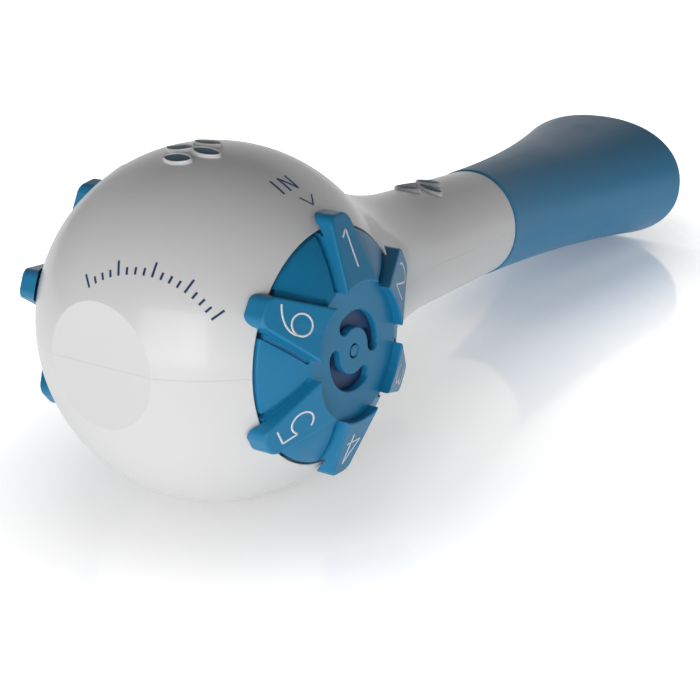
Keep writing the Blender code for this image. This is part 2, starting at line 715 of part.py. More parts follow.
def lug_underside():
    """Cuts the lugs free of the ball past the dial's edge and roots them inside it."""
    root = BALL_RADIUS - LUG_ROOT_DEPTH
    clear = BALL_RADIUS + LUG_BALL_GAP
    edge = DIAL_RADIUS - LUG_EDGE_LAP
    inside = sphere_arc(root, 0.0, math.asin(edge / root), LUG_FLOOR_STEPS)
    outside = sphere_arc(clear, math.asin(edge / clear), CUTTER_REACH_ANGLE, LUG_FLOOR_STEPS)
    return turned(inside + outside + [(0, outside[-1][1]), (0, 0)], "Z", half_step=True)


def channels_shape():
    outlines = []
    for side in (1, -1):
        outlines += turned_copies(channel_outline(side), lug_angles())
    return prism(outlines, POCKET_TOP_HEIGHT, DIAL_HUB_HEIGHT + LUG_INNER_RISE)


def channel_floor():
    """The ball-shaped floor that the channels are cut down to."""
    depth = BALL_RADIUS - LUG_CHANNEL_DEPTH
    arc_points = sphere_arc(depth, 0.0, CUTTER_REACH_ANGLE, CHANNEL_FLOOR_STEPS)
    return turned(arc_points + [(0, arc_points[-1][1]), (0, 0)], "Z", half_step=True)


def dial_blank():
    """Domed plate with a flat hub, a bore for the pin and a skirt at its edge."""
    inner = BALL_RADIUS - DIAL_WALL
    skirt = DIAL_RADIUS - DIAL_SKIRT_WIDTH
    hub_under = DIAL_HUB_HEIGHT - DIAL_HUB_THICKNESS
    start = math.asin(HUB_RADIUS / BALL_RADIUS)
    end = math.asin(DIAL_RADIUS / BALL_RADIUS)
    top = sphere_arc(BALL_RADIUS, start, end, DOME_STEPS)
    under_start = math.asin(skirt / inner)
    under_end = math.acos(hub_under / inner)
    under = sphere_arc(inner, under_start, under_end, UNDER_STEPS)
    bore = PIN_RADIUS + SEAT_GAP
    outline = [(DIAL_HUB_HEIGHT, bore)] + top + [(DIAL_BOTTOM_HEIGHT, DIAL_RADIUS)]
    outline += [(DIAL_BOTTOM_HEIGHT, skirt)] + under + [(hub_under, bore)]
    return turned(outline, "Z")


def windows_shape():
    outlines = [arc_slot(DIAL_WINDOW_INNER, DIAL_WINDOW_OUTER, DIAL_WINDOW_TURN + turn, DIAL_WINDOW_SPAN)
                for turn in (0, math.pi)]
    return prism(outlines, SEAT_TOP_HEIGHT, DIAL_HUB_HEIGHT + LUG_INNER_RISE)


def detent_nub():
    """Round nub inside the skirt that drops into the seat's scallops."""
    reach = SEAT_NECK_RADIUS + DETENT_CREST_GAP + DETENT_NUB_RADIUS
    low = DIAL_BOTTOM_HEIGHT + SEAT_GAP
    return prism([circle((0, reach), DETENT_NUB_RADIUS)], low, low + DETENT_NUB_LENGTH)


def make_dial(name, axis, material):
    """A dial with lugs, side channels, two curved windows and a click nub."""
    dial = make_object(name, dial_blank(), axis, material)
    channels = make_cutter(name + "_channels", channels_shape(), axis)
    floor = make_cutter(name + "_channel_floor", channel_floor(), axis)
    add_boolean(channels, floor, "DIFFERENCE", "MANIFOLD")
    add_boolean(dial, channels, "DIFFERENCE", "MANIFOLD")
    lugs = make_cutter(name + "_lugs", lugs_shape(), axis)
    underside = make_cutter(name + "_lug_underside", lug_underside(), axis)
    add_boolean(lugs, underside, "DIFFERENCE", "MANIFOLD")
    add_boolean(dial, lugs, "UNION", "MANIFOLD")
    add_boolean(dial, make_cutter(name + "_windows", windows_shape(), axis), "DIFFERENCE", "MANIFOLD")
    add_boolean(dial, make_cutter(name + "_nub", detent_nub(), axis), "UNION", "MANIFOLD")
    return dial


# Valve seats, gaskets, discs and pins

def scallops_shape():
    """Hollows round the seat, one under the nub at each setting."""
    centre = SEAT_NECK_RADIUS - DETENT_SCALLOP_DEPTH + DETENT_SCALLOP_RADIUS
    hollow = circle((0, centre), DETENT_SCALLOP_RADIUS)
    return prism(turned_copies(hollow, lug_angles()), POCKET_TOP_HEIGHT, DIAL_HUB_HEIGHT)


def seat_ports_shape(low, high):
    outlines = [arc_slot(SEAT_PORT_INNER, SEAT_PORT_OUTER, SEAT_PORT_TURN + turn, SEAT_PORT_SPAN, 4)
                for turn in (0, math.pi)]
    return prism(outlines, low, high)


def seat_dome():
    """Outer points of the seat, from its flat top down to its flange."""
    start = math.acos(SEAT_TOP_HEIGHT / SEAT_DOME_RADIUS)
    end = math.asin(SEAT_NECK_RADIUS / SEAT_DOME_RADIUS)
    dome = sphere_arc(SEAT_DOME_RADIUS, start, end, DOME_STEPS)
    return dome + [(SEAT_FLANGE_TOP, SEAT_NECK_RADIUS), (SEAT_FLANGE_TOP, SEAT_FLANGE_RADIUS),
                   (SEAT_FLANGE_BOTTOM, SEAT_FLANGE_RADIUS),
                   (SEAT_FLANGE_BOTTOM, SEAT_NECK_RADIUS - SEAT_WALL)]


def make_inhale_seat(axis, material):
    """Seat whose disc lies under its ported plate and is sucked inwards."""
    bore = PIN_RADIUS + SEAT_GAP
    plate_under = SEAT_TOP_HEIGHT - SEAT_WALL
    inner = SEAT_DOME_RADIUS - SEAT_WALL
    start = math.asin((SEAT_NECK_RADIUS - SEAT_WALL) / inner)
    end = math.acos(plate_under / inner)
    under = sphere_arc(inner, start, end, UNDER_STEPS)
    boss_end = plate_under - SEAT_GAP - DISC_THICKNESS - DISC_LIFT - SEAT_GAP
    outline = [(SEAT_TOP_HEIGHT, bore)] + seat_dome() + under
    outline += [(plate_under, SEAT_BOSS_RADIUS), (boss_end, SEAT_BOSS_RADIUS), (boss_end, bore)]
    return finish_seat("inhale_seat", turned(outline, "Z"), axis, material, plate_under)


def make_exhale_seat(axis, material):
    """Seat with a well for a disc that is blown outwards off its ported floor."""
    bore = PIN_RADIUS + SEAT_GAP
    well_floor = SEAT_TOP_HEIGHT - EXHALE_WELL_DEPTH
    plate_under = well_floor - SEAT_WALL
    cup = EXHALE_WELL_RADIUS + SEAT_WALL
    inner = SEAT_DOME_RADIUS - SEAT_WALL
    start = math.asin((SEAT_NECK_RADIUS - SEAT_WALL) / inner)
    end = math.asin(cup / inner)
    under = sphere_arc(inner, start, end, UNDER_STEPS)
    outline = [(SEAT_TOP_HEIGHT, bore), (SEAT_TOP_HEIGHT, SEAT_BOSS_RADIUS),
               (well_floor, SEAT_BOSS_RADIUS), (well_floor, EXHALE_WELL_RADIUS),
               (SEAT_TOP_HEIGHT, EXHALE_WELL_RADIUS)] + seat_dome() + under
    outline += [(plate_under, cup), (plate_under, bore)]
    return finish_seat("exhale_seat", turned(outline, "Z"), axis, material, plate_under)


def finish_seat(name, shape, axis, material, plate_under):
    """Cut the ports and the click scallops into a turned seat."""
    seat = make_object(name, shape, axis, material)
    ports = seat_ports_shape(plate_under - SEAT_GAP, SEAT_TOP_HEIGHT + SEAT_GAP)
    add_boolean(seat, make_cutter(name + "_ports", ports, axis), "DIFFERENCE")
    add_boolean(seat, make_cutter(name + "_scallops", scallops_shape(), axis), "DIFFERENCE")
    return seat


def make_gasket(name, axis, material):
    inner = POCKET_RIB_RADIUS + SEAT_GAP
    low = GASKET_TOP - GASKET_THICKNESS
    outer = SEAT_FLANGE_RADIUS
    outline = [(low, inner), (low, outer), (GASKET_TOP, outer), (GASKET_TOP, inner)]
    return make_object(name, turned(outline, "Z"), axis, material)


def make_disc(name, axis, material, rest_height, bead_side):
    """Silicone disc with a thicker rim on the side away from its seat."""
    inner = SEAT_BOSS_RADIUS + SEAT_GAP
    low, high = rest_height, rest_height + DISC_THICKNESS
    bead = DISC_BEAD * bead_side
    crest = high if bead_side > 0 else low
    base = low if bead_side > 0 else high
    outline = [(base, inner), (base, DISC_RADIUS), (crest + bead, DISC_RADIUS),
               (crest + bead, DISC_RADIUS - 2 * DISC_BEAD), (crest, DISC_RADIUS - 4 * DISC_BEAD),
               (crest, inner)]
    return make_object(name, turned(outline, "Z"), axis, material)


def make_pin(name, axis, material, flange_top):
    """Pivot pin, flush with the hub outside and flanged inside the seat."""
    flange_low = flange_top - PIN_FLANGE_THICKNESS
    outline = [(flange_low, 0), (flange_low, PIN_FLANGE_RADIUS), (flange_top, PIN_FLANGE_RADIUS),
               (flange_top, PIN_RADIUS), (DIAL_HUB_HEIGHT, PIN_RADIUS), (DIAL_HUB_HEIGHT, 0)]
    return make_object(name, turned(outline, "Z", SMALL_STEPS), axis, material)


def make_inhale_side(centre, materials):
    """Dial, pin, seat, gasket and disc on the -Y side of the ball."""
    axis = make_axis("inhale_axis", centre, rotation=Euler((math.pi / 2, 0, 0)))
    plate_under = SEAT_TOP_HEIGHT - SEAT_WALL
    disc_low = plate_under - SEAT_GAP - DISC_THICKNESS
    make_dial("inhale_dial", axis, materials["dial"])
    make_pin("inhale_pivot_pin", axis, materials["dial"], disc_low - DISC_LIFT - 2 * SEAT_GAP)
    make_inhale_seat(axis, materials["seat"])
    make_gasket("inhale_seat_gasket", axis, materials["seal"])
    make_disc("inhale_valve_disc", axis, materials["silicone"], disc_low, -1)
    return axis


def make_exhale_side(centre, materials):
    """Dial, pin, seat, gasket and disc on the +Y side of the ball."""
    rotation = Euler((math.pi / 2, EXHALE_INDEX_TURN, math.pi), "XYZ")
    axis = make_axis("exhale_axis", centre, rotation=rotation)
    well_floor = SEAT_TOP_HEIGHT - EXHALE_WELL_DEPTH
    make_dial("exhale_dial", axis, materials["dial"])
    make_pin("exhale_pivot_pin", axis, materials["dial"], well_floor - SEAT_WALL - SEAT_GAP)
    make_exhale_seat(axis, materials["seat"])
    make_gasket("exhale_seat_gasket", axis, materials["seal"])
    make_disc("exhale_valve_disc", axis, materials["silicone"], well_floor + SEAT_GAP, 1)
    return axis


def make_materials():
    return {
        "white": moulding_material("white_moulding", WHITE, 0.22, 0.3),
        "dial": moulding_material("dial_blue", DIAL_BLUE, 0.35),
        "mouthpiece": moulding_material("mouthpiece_blue", MOUTHPIECE_BLUE, 0.38),
        "seat": moulding_material("seat_navy", SEAT_NAVY, 0.45),
        "inlay": moulding_material("inlay_blue", INLAY_BLUE, 0.55),
        "silicone": moulding_material("valve_silicone", SILICONE, 0.5),
        "seal": moulding_material("seal_rubber", SEAL_BLACK, 0.6),
    }


def main():
    clear_scene()
    materials = make_materials()
    centre = make_axis("ball_centre", None, (BALL_CENTRE_X, 0, -crown_rise() / 2))
    axes = [make_inhale_side(centre, materials), make_exhale_side(centre, materials)]
    make_shell("upper_shell", 1, centre, axes, materials["white"])
    make_shell("lower_shell", -1, centre, axes, materials["white"])
    make_inlays(centre, materials["inlay"])
    make_port_tube(centre, materials["white"])
    make_port_seal(centre, materials["seal"])
    make_mouthpiece(centre, materials["mouthpiece"])


if __name__ == "__main__":
    main()
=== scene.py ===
import math

import bmesh
import bpy
import numpy as np
from bpy.props import FloatProperty, FloatVectorProperty, IntProperty, PointerProperty
from mathutils import Euler, Matrix, Vector


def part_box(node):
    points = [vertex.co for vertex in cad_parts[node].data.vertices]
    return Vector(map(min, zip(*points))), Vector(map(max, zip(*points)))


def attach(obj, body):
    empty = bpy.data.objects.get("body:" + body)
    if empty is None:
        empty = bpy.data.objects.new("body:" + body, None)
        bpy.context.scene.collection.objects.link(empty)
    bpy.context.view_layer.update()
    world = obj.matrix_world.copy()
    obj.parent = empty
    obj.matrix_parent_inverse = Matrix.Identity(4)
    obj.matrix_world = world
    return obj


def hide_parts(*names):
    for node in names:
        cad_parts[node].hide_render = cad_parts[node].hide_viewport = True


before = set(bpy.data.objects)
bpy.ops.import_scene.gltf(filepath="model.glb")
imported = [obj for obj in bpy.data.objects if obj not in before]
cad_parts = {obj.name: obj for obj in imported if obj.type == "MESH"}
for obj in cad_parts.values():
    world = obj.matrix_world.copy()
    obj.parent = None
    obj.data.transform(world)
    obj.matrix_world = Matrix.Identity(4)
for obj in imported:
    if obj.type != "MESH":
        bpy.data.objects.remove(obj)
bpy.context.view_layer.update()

bl_info = {
    "name": "Breathing trainer",
    "version": (1, 0, 0),
    "blender": (4, 5, 0),
    "location": "View3D > Sidebar > Trainer",
    "description": "Builds the finished surfaces of a hand-held breathing trainer round its frame",
    "category": "Object",
}

MM = 0.001
TINY = 1e-9

# Sizes that follow the frame, in metres
FRONT_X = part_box("upper_shell")[0].x
HANDLE_END_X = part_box("upper_shell")[1].x
RIM_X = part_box("mouthpiece")[1].x
RIM_HALF_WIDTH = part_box("mouthpiece")[1].y
RIM_HALF_HEIGHT = (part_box("mouthpiece")[1].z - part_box("mouthpiece")[0].z) / 2
AXIS_Z = (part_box("mouthpiece")[1].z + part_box("mouthpiece")[0].z) / 2

# Facets of the finished meshes
BODY_STEPS = 192
BORE_STEPS = 96
DIAL_STEPS = 192
MOUTHPIECE_STEPS = 160
BODY_ARC = math.radians(1.5)
NECK_ARC = math.radians(0.5)
FLAT_EDGE_ARC = math.radians(5.0)
END_ARC = math.radians(22.5)
AIRWAY_ARC = math.radians(4.0)
OPENING_ARC = math.radians(16.0)
FINE_ARC = math.radians(2.5)
CORNER_ARC = math.radians(11.0)
CHANNEL_ARC = math.radians(18.0)
NUB_ARC = math.radians(30.0)

# Points along outlines: a small rounded edge, a lug's edge and the dial's rim, a half round, a
# lug's side, a lug's root, the windows, the dial's hub, dome and underside, and a grip pad
SMALL_EDGE_POINTS = 5
EDGE_POINTS = 7
HALF_ROUND_POINTS = 13
LUG_SIDE_POINTS = 12
LUG_ROOT_SPANS = 16
WINDOW_POINTS = 49
HUB_POINTS, DOME_POINTS, UNDER_POINTS = 18, 14, 9
PAD_POINTS = 48

INLAY_NODES = sorted(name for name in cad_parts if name.startswith("grip_inlay_"))


# Properties

def length(name, description, default_mm):
    """A length property with its default given in millimetres."""
    return FloatProperty(name=name, description=description, default=default_mm * MM,
                         unit="LENGTH", precision=5)


def angle(name, description, degrees):
    """An angle property with its default given in degrees."""
    return FloatProperty(name=name, description=description, default=math.radians(degrees), subtype="ANGLE")


def number(name, description, default):
    return FloatProperty(name=name, description=description, default=default)


def colour(name, description, default):
    return FloatVectorProperty(name=name, description=description, default=default,
                               subtype="COLOR", size=3, min=0.0, max=1.0)


class TrainerBodySizes(bpy.types.PropertyGroup):
    """Ball, neck, handle and grip pads"""
    ball_radius: length("Ball radius", "Radius of the hollow ball", 33.0)
    wall: length("Wall", "Wall of the two shells", 2.0)
    front_flat: length("Front flat", "Distance of the flat from the ball's centre", 31.0)
    flat_edge: length("Flat's edge", "Rounding between the flat and the ball", 1.2)
    neck_fillet: length("Neck fillet", "Radius of the hollow curve behind the ball", 76.0)
    handle_end_radius: length("Handle end radius", "Radius of the handle at the mouthpiece", 12.2)
    handle_taper: number("Handle taper", "Radius lost per length", 0.027)
    parting_gap: length("Parting line", "Hairline gap between the two shells", 0.025)
    opening_radius: length("Dial opening", "Radius of the round openings for the dials", 21.35)
    opening_edge: length("Opening's edge", "Rounding round each dial opening", 0.15)
    pad_half_length: length("Pad half length", "Half the length of a grip inlay's recess", 2.75)
    pad_half_width: length("Pad half width", "Half the width of a grip inlay's recess", 1.45)
    pad_rim: length("Pad rim", "Width of the raised rim round an inlay", 0.3)
    pad_rise: length("Pad rise", "Height of the raised rim", 0.45)
    pad_pitch: length("Pad pitch", "Distance between the rows of a cluster", 4.1)
    pad_side_offset: length("Pad side offset", "Distance of the side pads from the middle", 3.0)
    inlay_sink: length("Inlay sink", "Depth of an inlay's face under the rim", 0.0)
    crown_cluster: length("Crown cluster", "Station of the cluster on the ball", -5.4)
    thumb_cluster: length("Thumb cluster", "Station of the cluster on the handle's top", 68.5)
    finger_cluster: length("Finger cluster", "Station of the cluster under the handle", 53.5)


class TrainerDialSizes(bpy.types.PropertyGroup):
    """Dials with their lugs, windows and numbers"""
    radius: length("Dial radius", "Radius of the domed plate", 20.95)
    rim_edge: length("Rim edge", "Rounding of the plate's rim", 0.35)
    hub_height: length("Hub height", "Distance of the hub's face from the ball's centre", 30.5)
    hub_thickness: length("Hub thickness", "Thickness of the hub", 1.4)
    wall: length("Wall", "Wall of the domed plate", 1.8)
    skirt_width: length("Skirt width", "Thickness of the skirt under the rim", 2.4)
    window_inner: length("Window inner radius", "Inner radius of the curved windows", 4.25)
    window_outer: length("Window outer radius", "Outer radius of the curved windows", 7.2)
    window_span: angle("Window span", "Angle that a window covers", 148.0)
    window_turn: angle("Window turn", "Angle of the first window's middle", 30.0)
    window_edge: length("Window edge", "Chamfer round the windows", 0.25)
    settings: IntProperty(name="Settings", description="Number of lugs", default=6, min=2)
    lug_rise: length("Lug rise", "Height of a lug over the hub", 1.7)
    lug_slope: number("Lug slope", "Height lost per length along a lug", 0.43)
    lug_tip: length("Lug tip radius", "Radius of the lugs' tips", 23.9)
    lug_inner_width: length("Lug inner half width", "Half width of a lug at the hub", 4.7)
    lug_tip_width: length("Lug tip half width", "Half width of a lug at its tip", 2.85)
    lug_corner: length("Lug corner", "Radius of the corners at a lug's tip", 1.8)
    lug_edge: length("Lug edge", "Rounding of a lug's top edge", 0.45)
    lug_gap: length("Lug gap", "Gap between a lug's tip and the ball", 0.5)
    channel_width: length("Channel width", "Width of the channel beside a lug", 0.9)
    channel_depth: length("Channel depth", "Depth of the channel beside a lug", 0.6)
    notch_length: length("Notch length", "How far a channel's notch cuts into the rim", 1.1)
    notch_reach: length("Notch reach", "How far the notch undercuts the plate", 1.6)
    notch_depth: length("Notch depth", "Depth of the notch where a channel meets the rim", 3.0)
    number_height: length("Number height", "Height of the numbers on the lugs", 6.9)
    number_stroke: length("Number stroke", "Width of a number's stroke", 0.36)
    exhale_turn: angle("Exhale turn", "Angle of the exhale dial's first setting", 10.0)


class TrainerMouthpieceSizes(bpy.types.PropertyGroup):
    """Flared mouthpiece"""
    start_radius: length("Start radius", "Radius where it meets the handle", 12.45)
    wall: length("Wall", "Wall of the flare", 1.6)
    lip: length("Lip", "Thickness of the rounded lip", 1.3)
    width_power: number("Width power", "How late the width flares", 1.5)
    height_power: number("Height power", "How late the height flares", 2.4)
    squareness: number("Squareness", "Power of the oval at the rim", 2.2)
    socket_radius: length("Socket radius", "Radius of the socket for the port", 11.3)
    socket_depth: length("Socket depth", "Depth of the socket for the port", 17.3)
    stop_radius: length("Stop radius", "Bore of the stop at the socket's end", 9.2)
    stop_length: length("Stop length", "Length of the stop", 2.0)


class TrainerColours(bpy.types.PropertyGroup):
    """Colours of the mouldings and prints"""
    white: colour("White", "Glossy white of the shells", (0.75, 0.75, 0.75))
    dial: colour("Dial blue", "Satin blue of the dials", (0.011, 0.212, 0.42))
    mouthpiece: colour("Mouthpiece blue", "Slate blue of the mouthpiece", (0.026, 0.24, 0.46))
    seat: colour("Seat navy", "Dark plate behind the windows", (0.035, 0.085, 0.20))
    inlay: colour("Inlay blue", "Soft inlays in the grip pads", (0.006, 0.095, 0.165))
    silicone: colour("Silicone", "Milky valve discs", (0.55, 0.58, 0.60))
    rubber: colour("Rubber", "Black seals and gaskets", (0.025, 0.025, 0.028))
    number: colour("Number white", "Printed numbers", (0.80, 0.83, 0.85))
    print_navy: colour("Print navy", "Printed marks on the ball", (0.015, 0.05, 0.15))


class TrainerStageSettings(bpy.types.PropertyGroup):
    """Camera, lights and floor"""
    camera_place: FloatVectorProperty(
        name="Camera place", description="Place of the camera from the ball's centre",
        default=(-0.20190, -0.16978, 0.08291), subtype="TRANSLATION", size=3)
    camera_heading: angle("Camera heading", "Heading of the view from +X", 34.78)
    camera_pitch: angle("Camera pitch", "Angle of the view below the horizon", 18.65)
    lens: number("Lens", "Focal length on a 36 mm sensor", 76.9)
    floor_glow: number("Floor glow", "Light that the white floor gives to the object", 0.54)
    floor_white: number("Floor white", "Light of the open floor as the camera sees it", 1.1)
    floor_gloss: number("Floor gloss", "Strength of the floor's reflection at low angles", 2.5)
    sky_top: number("Sky top", "Brightness overhead", 0.06)
    sky_far: number("Sky far", "Brightness at the horizon behind the object", 0.38)
    sky_right: number("Sky right", "Brightness at the horizon past the mouthpiece", 0.74)
    box_power: number("Camera box", "Power of the soft box behind the camera", 0.54)
    side_power: number("Side box", "Power of the soft box in front of the ball", 1.19)


def settings(name):
    return getattr(bpy.context.scene, name)


def body_sizes():
    return settings("trainer_body")


def dial_sizes():
    return settings("trainer_dial")


# Node trees

def add_node(tree, kind, values=None, **options):
    """Add a node, set its options, and set or link its inputs."""
    node = tree.nodes.new(kind)
    for option, value in options.items():
        setattr(node, option, value)
    for key, value in (values or {}).items():
        if isinstance(value, bpy.types.NodeSocket):
            tree.links.new(value, node.inputs[key])
        else:
            node.inputs[key].default_value = value
    return node


def new_tree(name, kind, inputs, outputs):
    """A node group with named sockets, each given as (name, type, default)."""
    tree = bpy.data.node_groups.new(name, kind)
    for socket_name, socket_type, default in inputs:
        socket = tree.interface.new_socket(name=socket_name, in_out="INPUT",
                                           socket_type="NodeSocket" + socket_type)
        if default is not None:
            socket.default_value = default
    for socket_name, socket_type in outputs:
        tree.interface.new_socket(name=socket_name, in_out="OUTPUT", socket_type="NodeSocket" + socket_type)
    start = tree.nodes.new("NodeGroupInput")
    end = tree.nodes.new("NodeGroupOutput")
    return tree, start.outputs, end.inputs


def math_node(tree, operation, *values):
    """The result of a math node whose inputs are numbers or sockets."""
    return add_node(tree, "ShaderNodeMath", dict(enumerate(values)), operation=operation).outputs[0]


def ramp(tree, value, start, end, low=0.0, high=1.0, kind="SMOOTHSTEP"):
    """Map a value from one range to another, held at both ends."""
    return add_node(tree, "ShaderNodeMapRange",
                    {"Value": value, "From Min": start, "From Max": end, "To Min": low, "To Max": high},
                    interpolation_type=kind).outputs["Result"]


def group_once(name, make):
    """The node group of that name, made when it isn't there yet."""
    return bpy.data.node_groups.get(name) or make(name)


def geometry_tree(name, inputs):
    """A tree that takes geometry, the given inputs and a material, and gives geometry."""
    return new_tree(name, "GeometryNodeTree",
                    [("Geometry", "Geometry", None)] + inputs + [("Material", "Material", None)],
                    [("Geometry", "Geometry")])


def close_tree(tree, last, given, out):
    """Make the last node's geometry real, give it the material and send it out."""
    real = add_node(tree, "GeometryNodeRealizeInstances", {"Geometry": last.outputs[0]})
    dressed = add_node(tree, "GeometryNodeSetMaterial",
                       {"Geometry": real.outputs[0], "Material": given["Material"]})
    tree.links.new(dressed.outputs[0], out["Geometry"])
    return tree


def linked(name, data):
    """A new object in the scene's collection."""
    made = bpy.data.objects.new(name, data)
    bpy.context.collection.objects.link(made)
    return made


def evaluated_mesh(source):
    """A plain mesh of an object as its modifiers leave it."""
    bpy.context.view_layer.update()
    depsgraph = bpy.context.evaluated_depsgraph_get()
    return bpy.data.meshes.new_from_object(source.evaluated_get(depsgraph), depsgraph=depsgraph)


def read_array(items, field, width=3, kind=np.float32):
    """A property of all items of a mesh as an array, one row for each."""
    values = np.empty(len(items) * width, kind)
    items.foreach_get(field, values)
    return values.reshape(-1, width) if width > 1 else values


def run_geometry_nodes(source, tree, values):
    """Run a geometry tree on an object and return the result as a plain mesh.

    The source object is removed. values are the tree's inputs by name.
    """
    modifier = source.modifiers.new(tree.name, "NODES")
    modifier.node_group = tree
    for item in tree.interface.items_tree:
        if item.item_type == "SOCKET" and item.in_out == "INPUT" and item.name in values:
            modifier[item.identifier] = values[item.name]
    mesh = evaluated_mesh(source)
    source.modifiers.remove(modifier)
    bpy.data.objects.remove(source, do_unlink=True)
    return mesh


# Shader groups shared by the finishes

# Ranges of the noises that make scuffs and mottle, and factor and rest of the noise that breaks up the
# painted edge highlights
SCUFF_RANGE = (0.60, 0.72)
MOTTLE_RANGE = (0.3, 0.7)
HIGHLIGHT_BREAK = (1.2, 0.1)
RELIEF_DEPTH = 0.1 * MM
# Pale colour that the edges lean towards where they are painted as a highlight
HIGHLIGHT_WHITE = 0.75


def moulded_surface_group(name):
    """Orange peel, fine grain and a slow mottle of a moulded plastic face."""
    tree, given, out = new_tree(
        name, "ShaderNodeTree",
        [("Vector", "Vector", None), ("Peel Scale", "Float", 400.0),
         ("Grain Scale", "Float", 6000.0), ("Grain Share", "Float", 0.5),
         ("Mottle Scale", "Float", 60.0)],
        [("Height", "Float"), ("Mottle", "Float"), ("Speckle", "Float")])
    peel = add_node(tree, "ShaderNodeTexNoise",
                    {"Vector": given["Vector"], "Scale": given["Peel Scale"], "Detail": 2.0})
    grain = add_node(tree, "ShaderNodeTexNoise",
                     {"Vector": given["Vector"], "Scale": given["Grain Scale"], "Detail": 1.0})
    mottle = add_node(tree, "ShaderNodeTexNoise",
                      {"Vector": given["Vector"], "Scale": given["Mottle Scale"], "Detail": 4.0,
                       "Roughness": 0.6})
    mix = add_node(tree, "ShaderNodeMix", {0: given["Grain Share"], 2: peel.outputs["Fac"],
                                           3: grain.outputs["Fac"]})
    tree.links.new(mix.outputs[0], out["Height"])
    tree.links.new(mottle.outputs["Fac"], out["Mottle"])
    tree.links.new(grain.outputs["Fac"], out["Speckle"])
    return tree


def scuffs_and_edge_highlight_group(name):
    """Mask of edges painted paler as a highlight, broken up by a noise, and another of scuffs."""
    tree, given, out = new_tree(
        name, "ShaderNodeTree",
        [("Vector", "Vector", None), ("Scale", "Float", 500.0),
         ("Edge Start", "Float", 0.53), ("Edge End", "Float", 0.60)],
        [("Edges", "Float"), ("Scuffs", "Float")])
    point = tree.nodes.new("ShaderNodeNewGeometry").outputs["Pointiness"]
    # Convex edges found by pointiness: where the paler painted highlight goes
    edge = ramp(tree, point, given["Edge Start"], given["Edge End"], kind="LINEAR")
    noise = add_node(tree, "ShaderNodeTexNoise",
                     {"Vector": given["Vector"], "Scale": given["Scale"], "Detail": 3.0})
    highlight_break_up = math_node(tree, "MULTIPLY_ADD", noise.outputs["Fac"], *HIGHLIGHT_BREAK)
    edges = math_node(tree, "MULTIPLY", edge, highlight_break_up)
    scratch = add_node(tree, "ShaderNodeTexNoise",
                       {"Vector": given["Vector"], "Scale": 90.0, "Detail": 6.0, "Distortion": 2.0})
    scuffs = ramp(tree, scratch.outputs["Fac"], *SCUFF_RANGE, kind="LINEAR")
    tree.links.new(edges, out["Edges"])
    tree.links.new(scuffs, out["Scuffs"])
    return tree


def moulding_finish(name, base, roughness, peel_scale=400.0, grain_scale=6000.0, grain_share=0.5,
                    bump=0.02, shade=0.06, edge_highlight=0.25, roughness_spread=0.05, constants=None):
    """Material of one moulding: base colour with a mottle, edges painted paler as a highlight, grain and
    peel.
    """
    material = bpy.data.materials.new(name)
    material.use_nodes = True
    tree = material.node_tree
    shader = tree.nodes["Principled BSDF"]
    place = tree.nodes.new("ShaderNodeTexCoord").outputs["Object"]
    surface, scuffs_and_highlight = tree.nodes.new("ShaderNodeGroup"), tree.nodes.new("ShaderNodeGroup")
    surface.node_tree = group_once("moulded_surface", moulded_surface_group)
    scuffs_and_highlight.node_tree = group_once("handling_wear", scuffs_and_edge_highlight_group)
    for group in (surface, scuffs_and_highlight):
        tree.links.new(place, group.inputs["Vector"])
    for socket, value in (("Peel Scale", peel_scale), ("Grain Scale", grain_scale),
                          ("Grain Share", grain_share)):
        surface.inputs[socket].default_value = value
    darker = [channel * (1 - shade) for channel in base] + [1.0]
    lighter = [min(1.0, channel * (1 + shade)) for channel in base] + [1.0]
    mottled = add_node(tree, "ShaderNodeMix", {0: surface.outputs["Mottle"], 6: darker, 7: lighter},
                       data_type="RGBA")
    # Edges painted paler as a highlight, mixed in by the edge mask
    highlight_colour = [min(1.0, channel + edge_highlight * (HIGHLIGHT_WHITE - channel)) for channel in base] + [1.0]
    highlighted = add_node(tree, "ShaderNodeMix", {0: scuffs_and_highlight.outputs["Edges"], 6: mottled.outputs[2], 7: highlight_colour},
                    data_type="RGBA")
    tree.links.new(highlighted.outputs[2], shader.inputs["Base Color"])
    rough = ramp(tree, surface.outputs["Mottle"], *MOTTLE_RANGE, roughness - roughness_spread,
                 roughness + roughness_spread, "LINEAR")
    scuffed = math_node(tree, "MULTIPLY_ADD", scuffs_and_highlight.outputs["Scuffs"], roughness_spread, rough)
    tree.links.new(scuffed, shader.inputs["Roughness"])
    relief = add_node(tree, "ShaderNodeBump",
                      {"Height": surface.outputs["Height"], "Strength": bump, "Distance": RELIEF_DEPTH})
    tree.links.new(relief.outputs["Normal"], shader.inputs["Normal"])
    for socket, value in (constants or {}).items():
        shader.inputs[socket].default_value = value
    return material


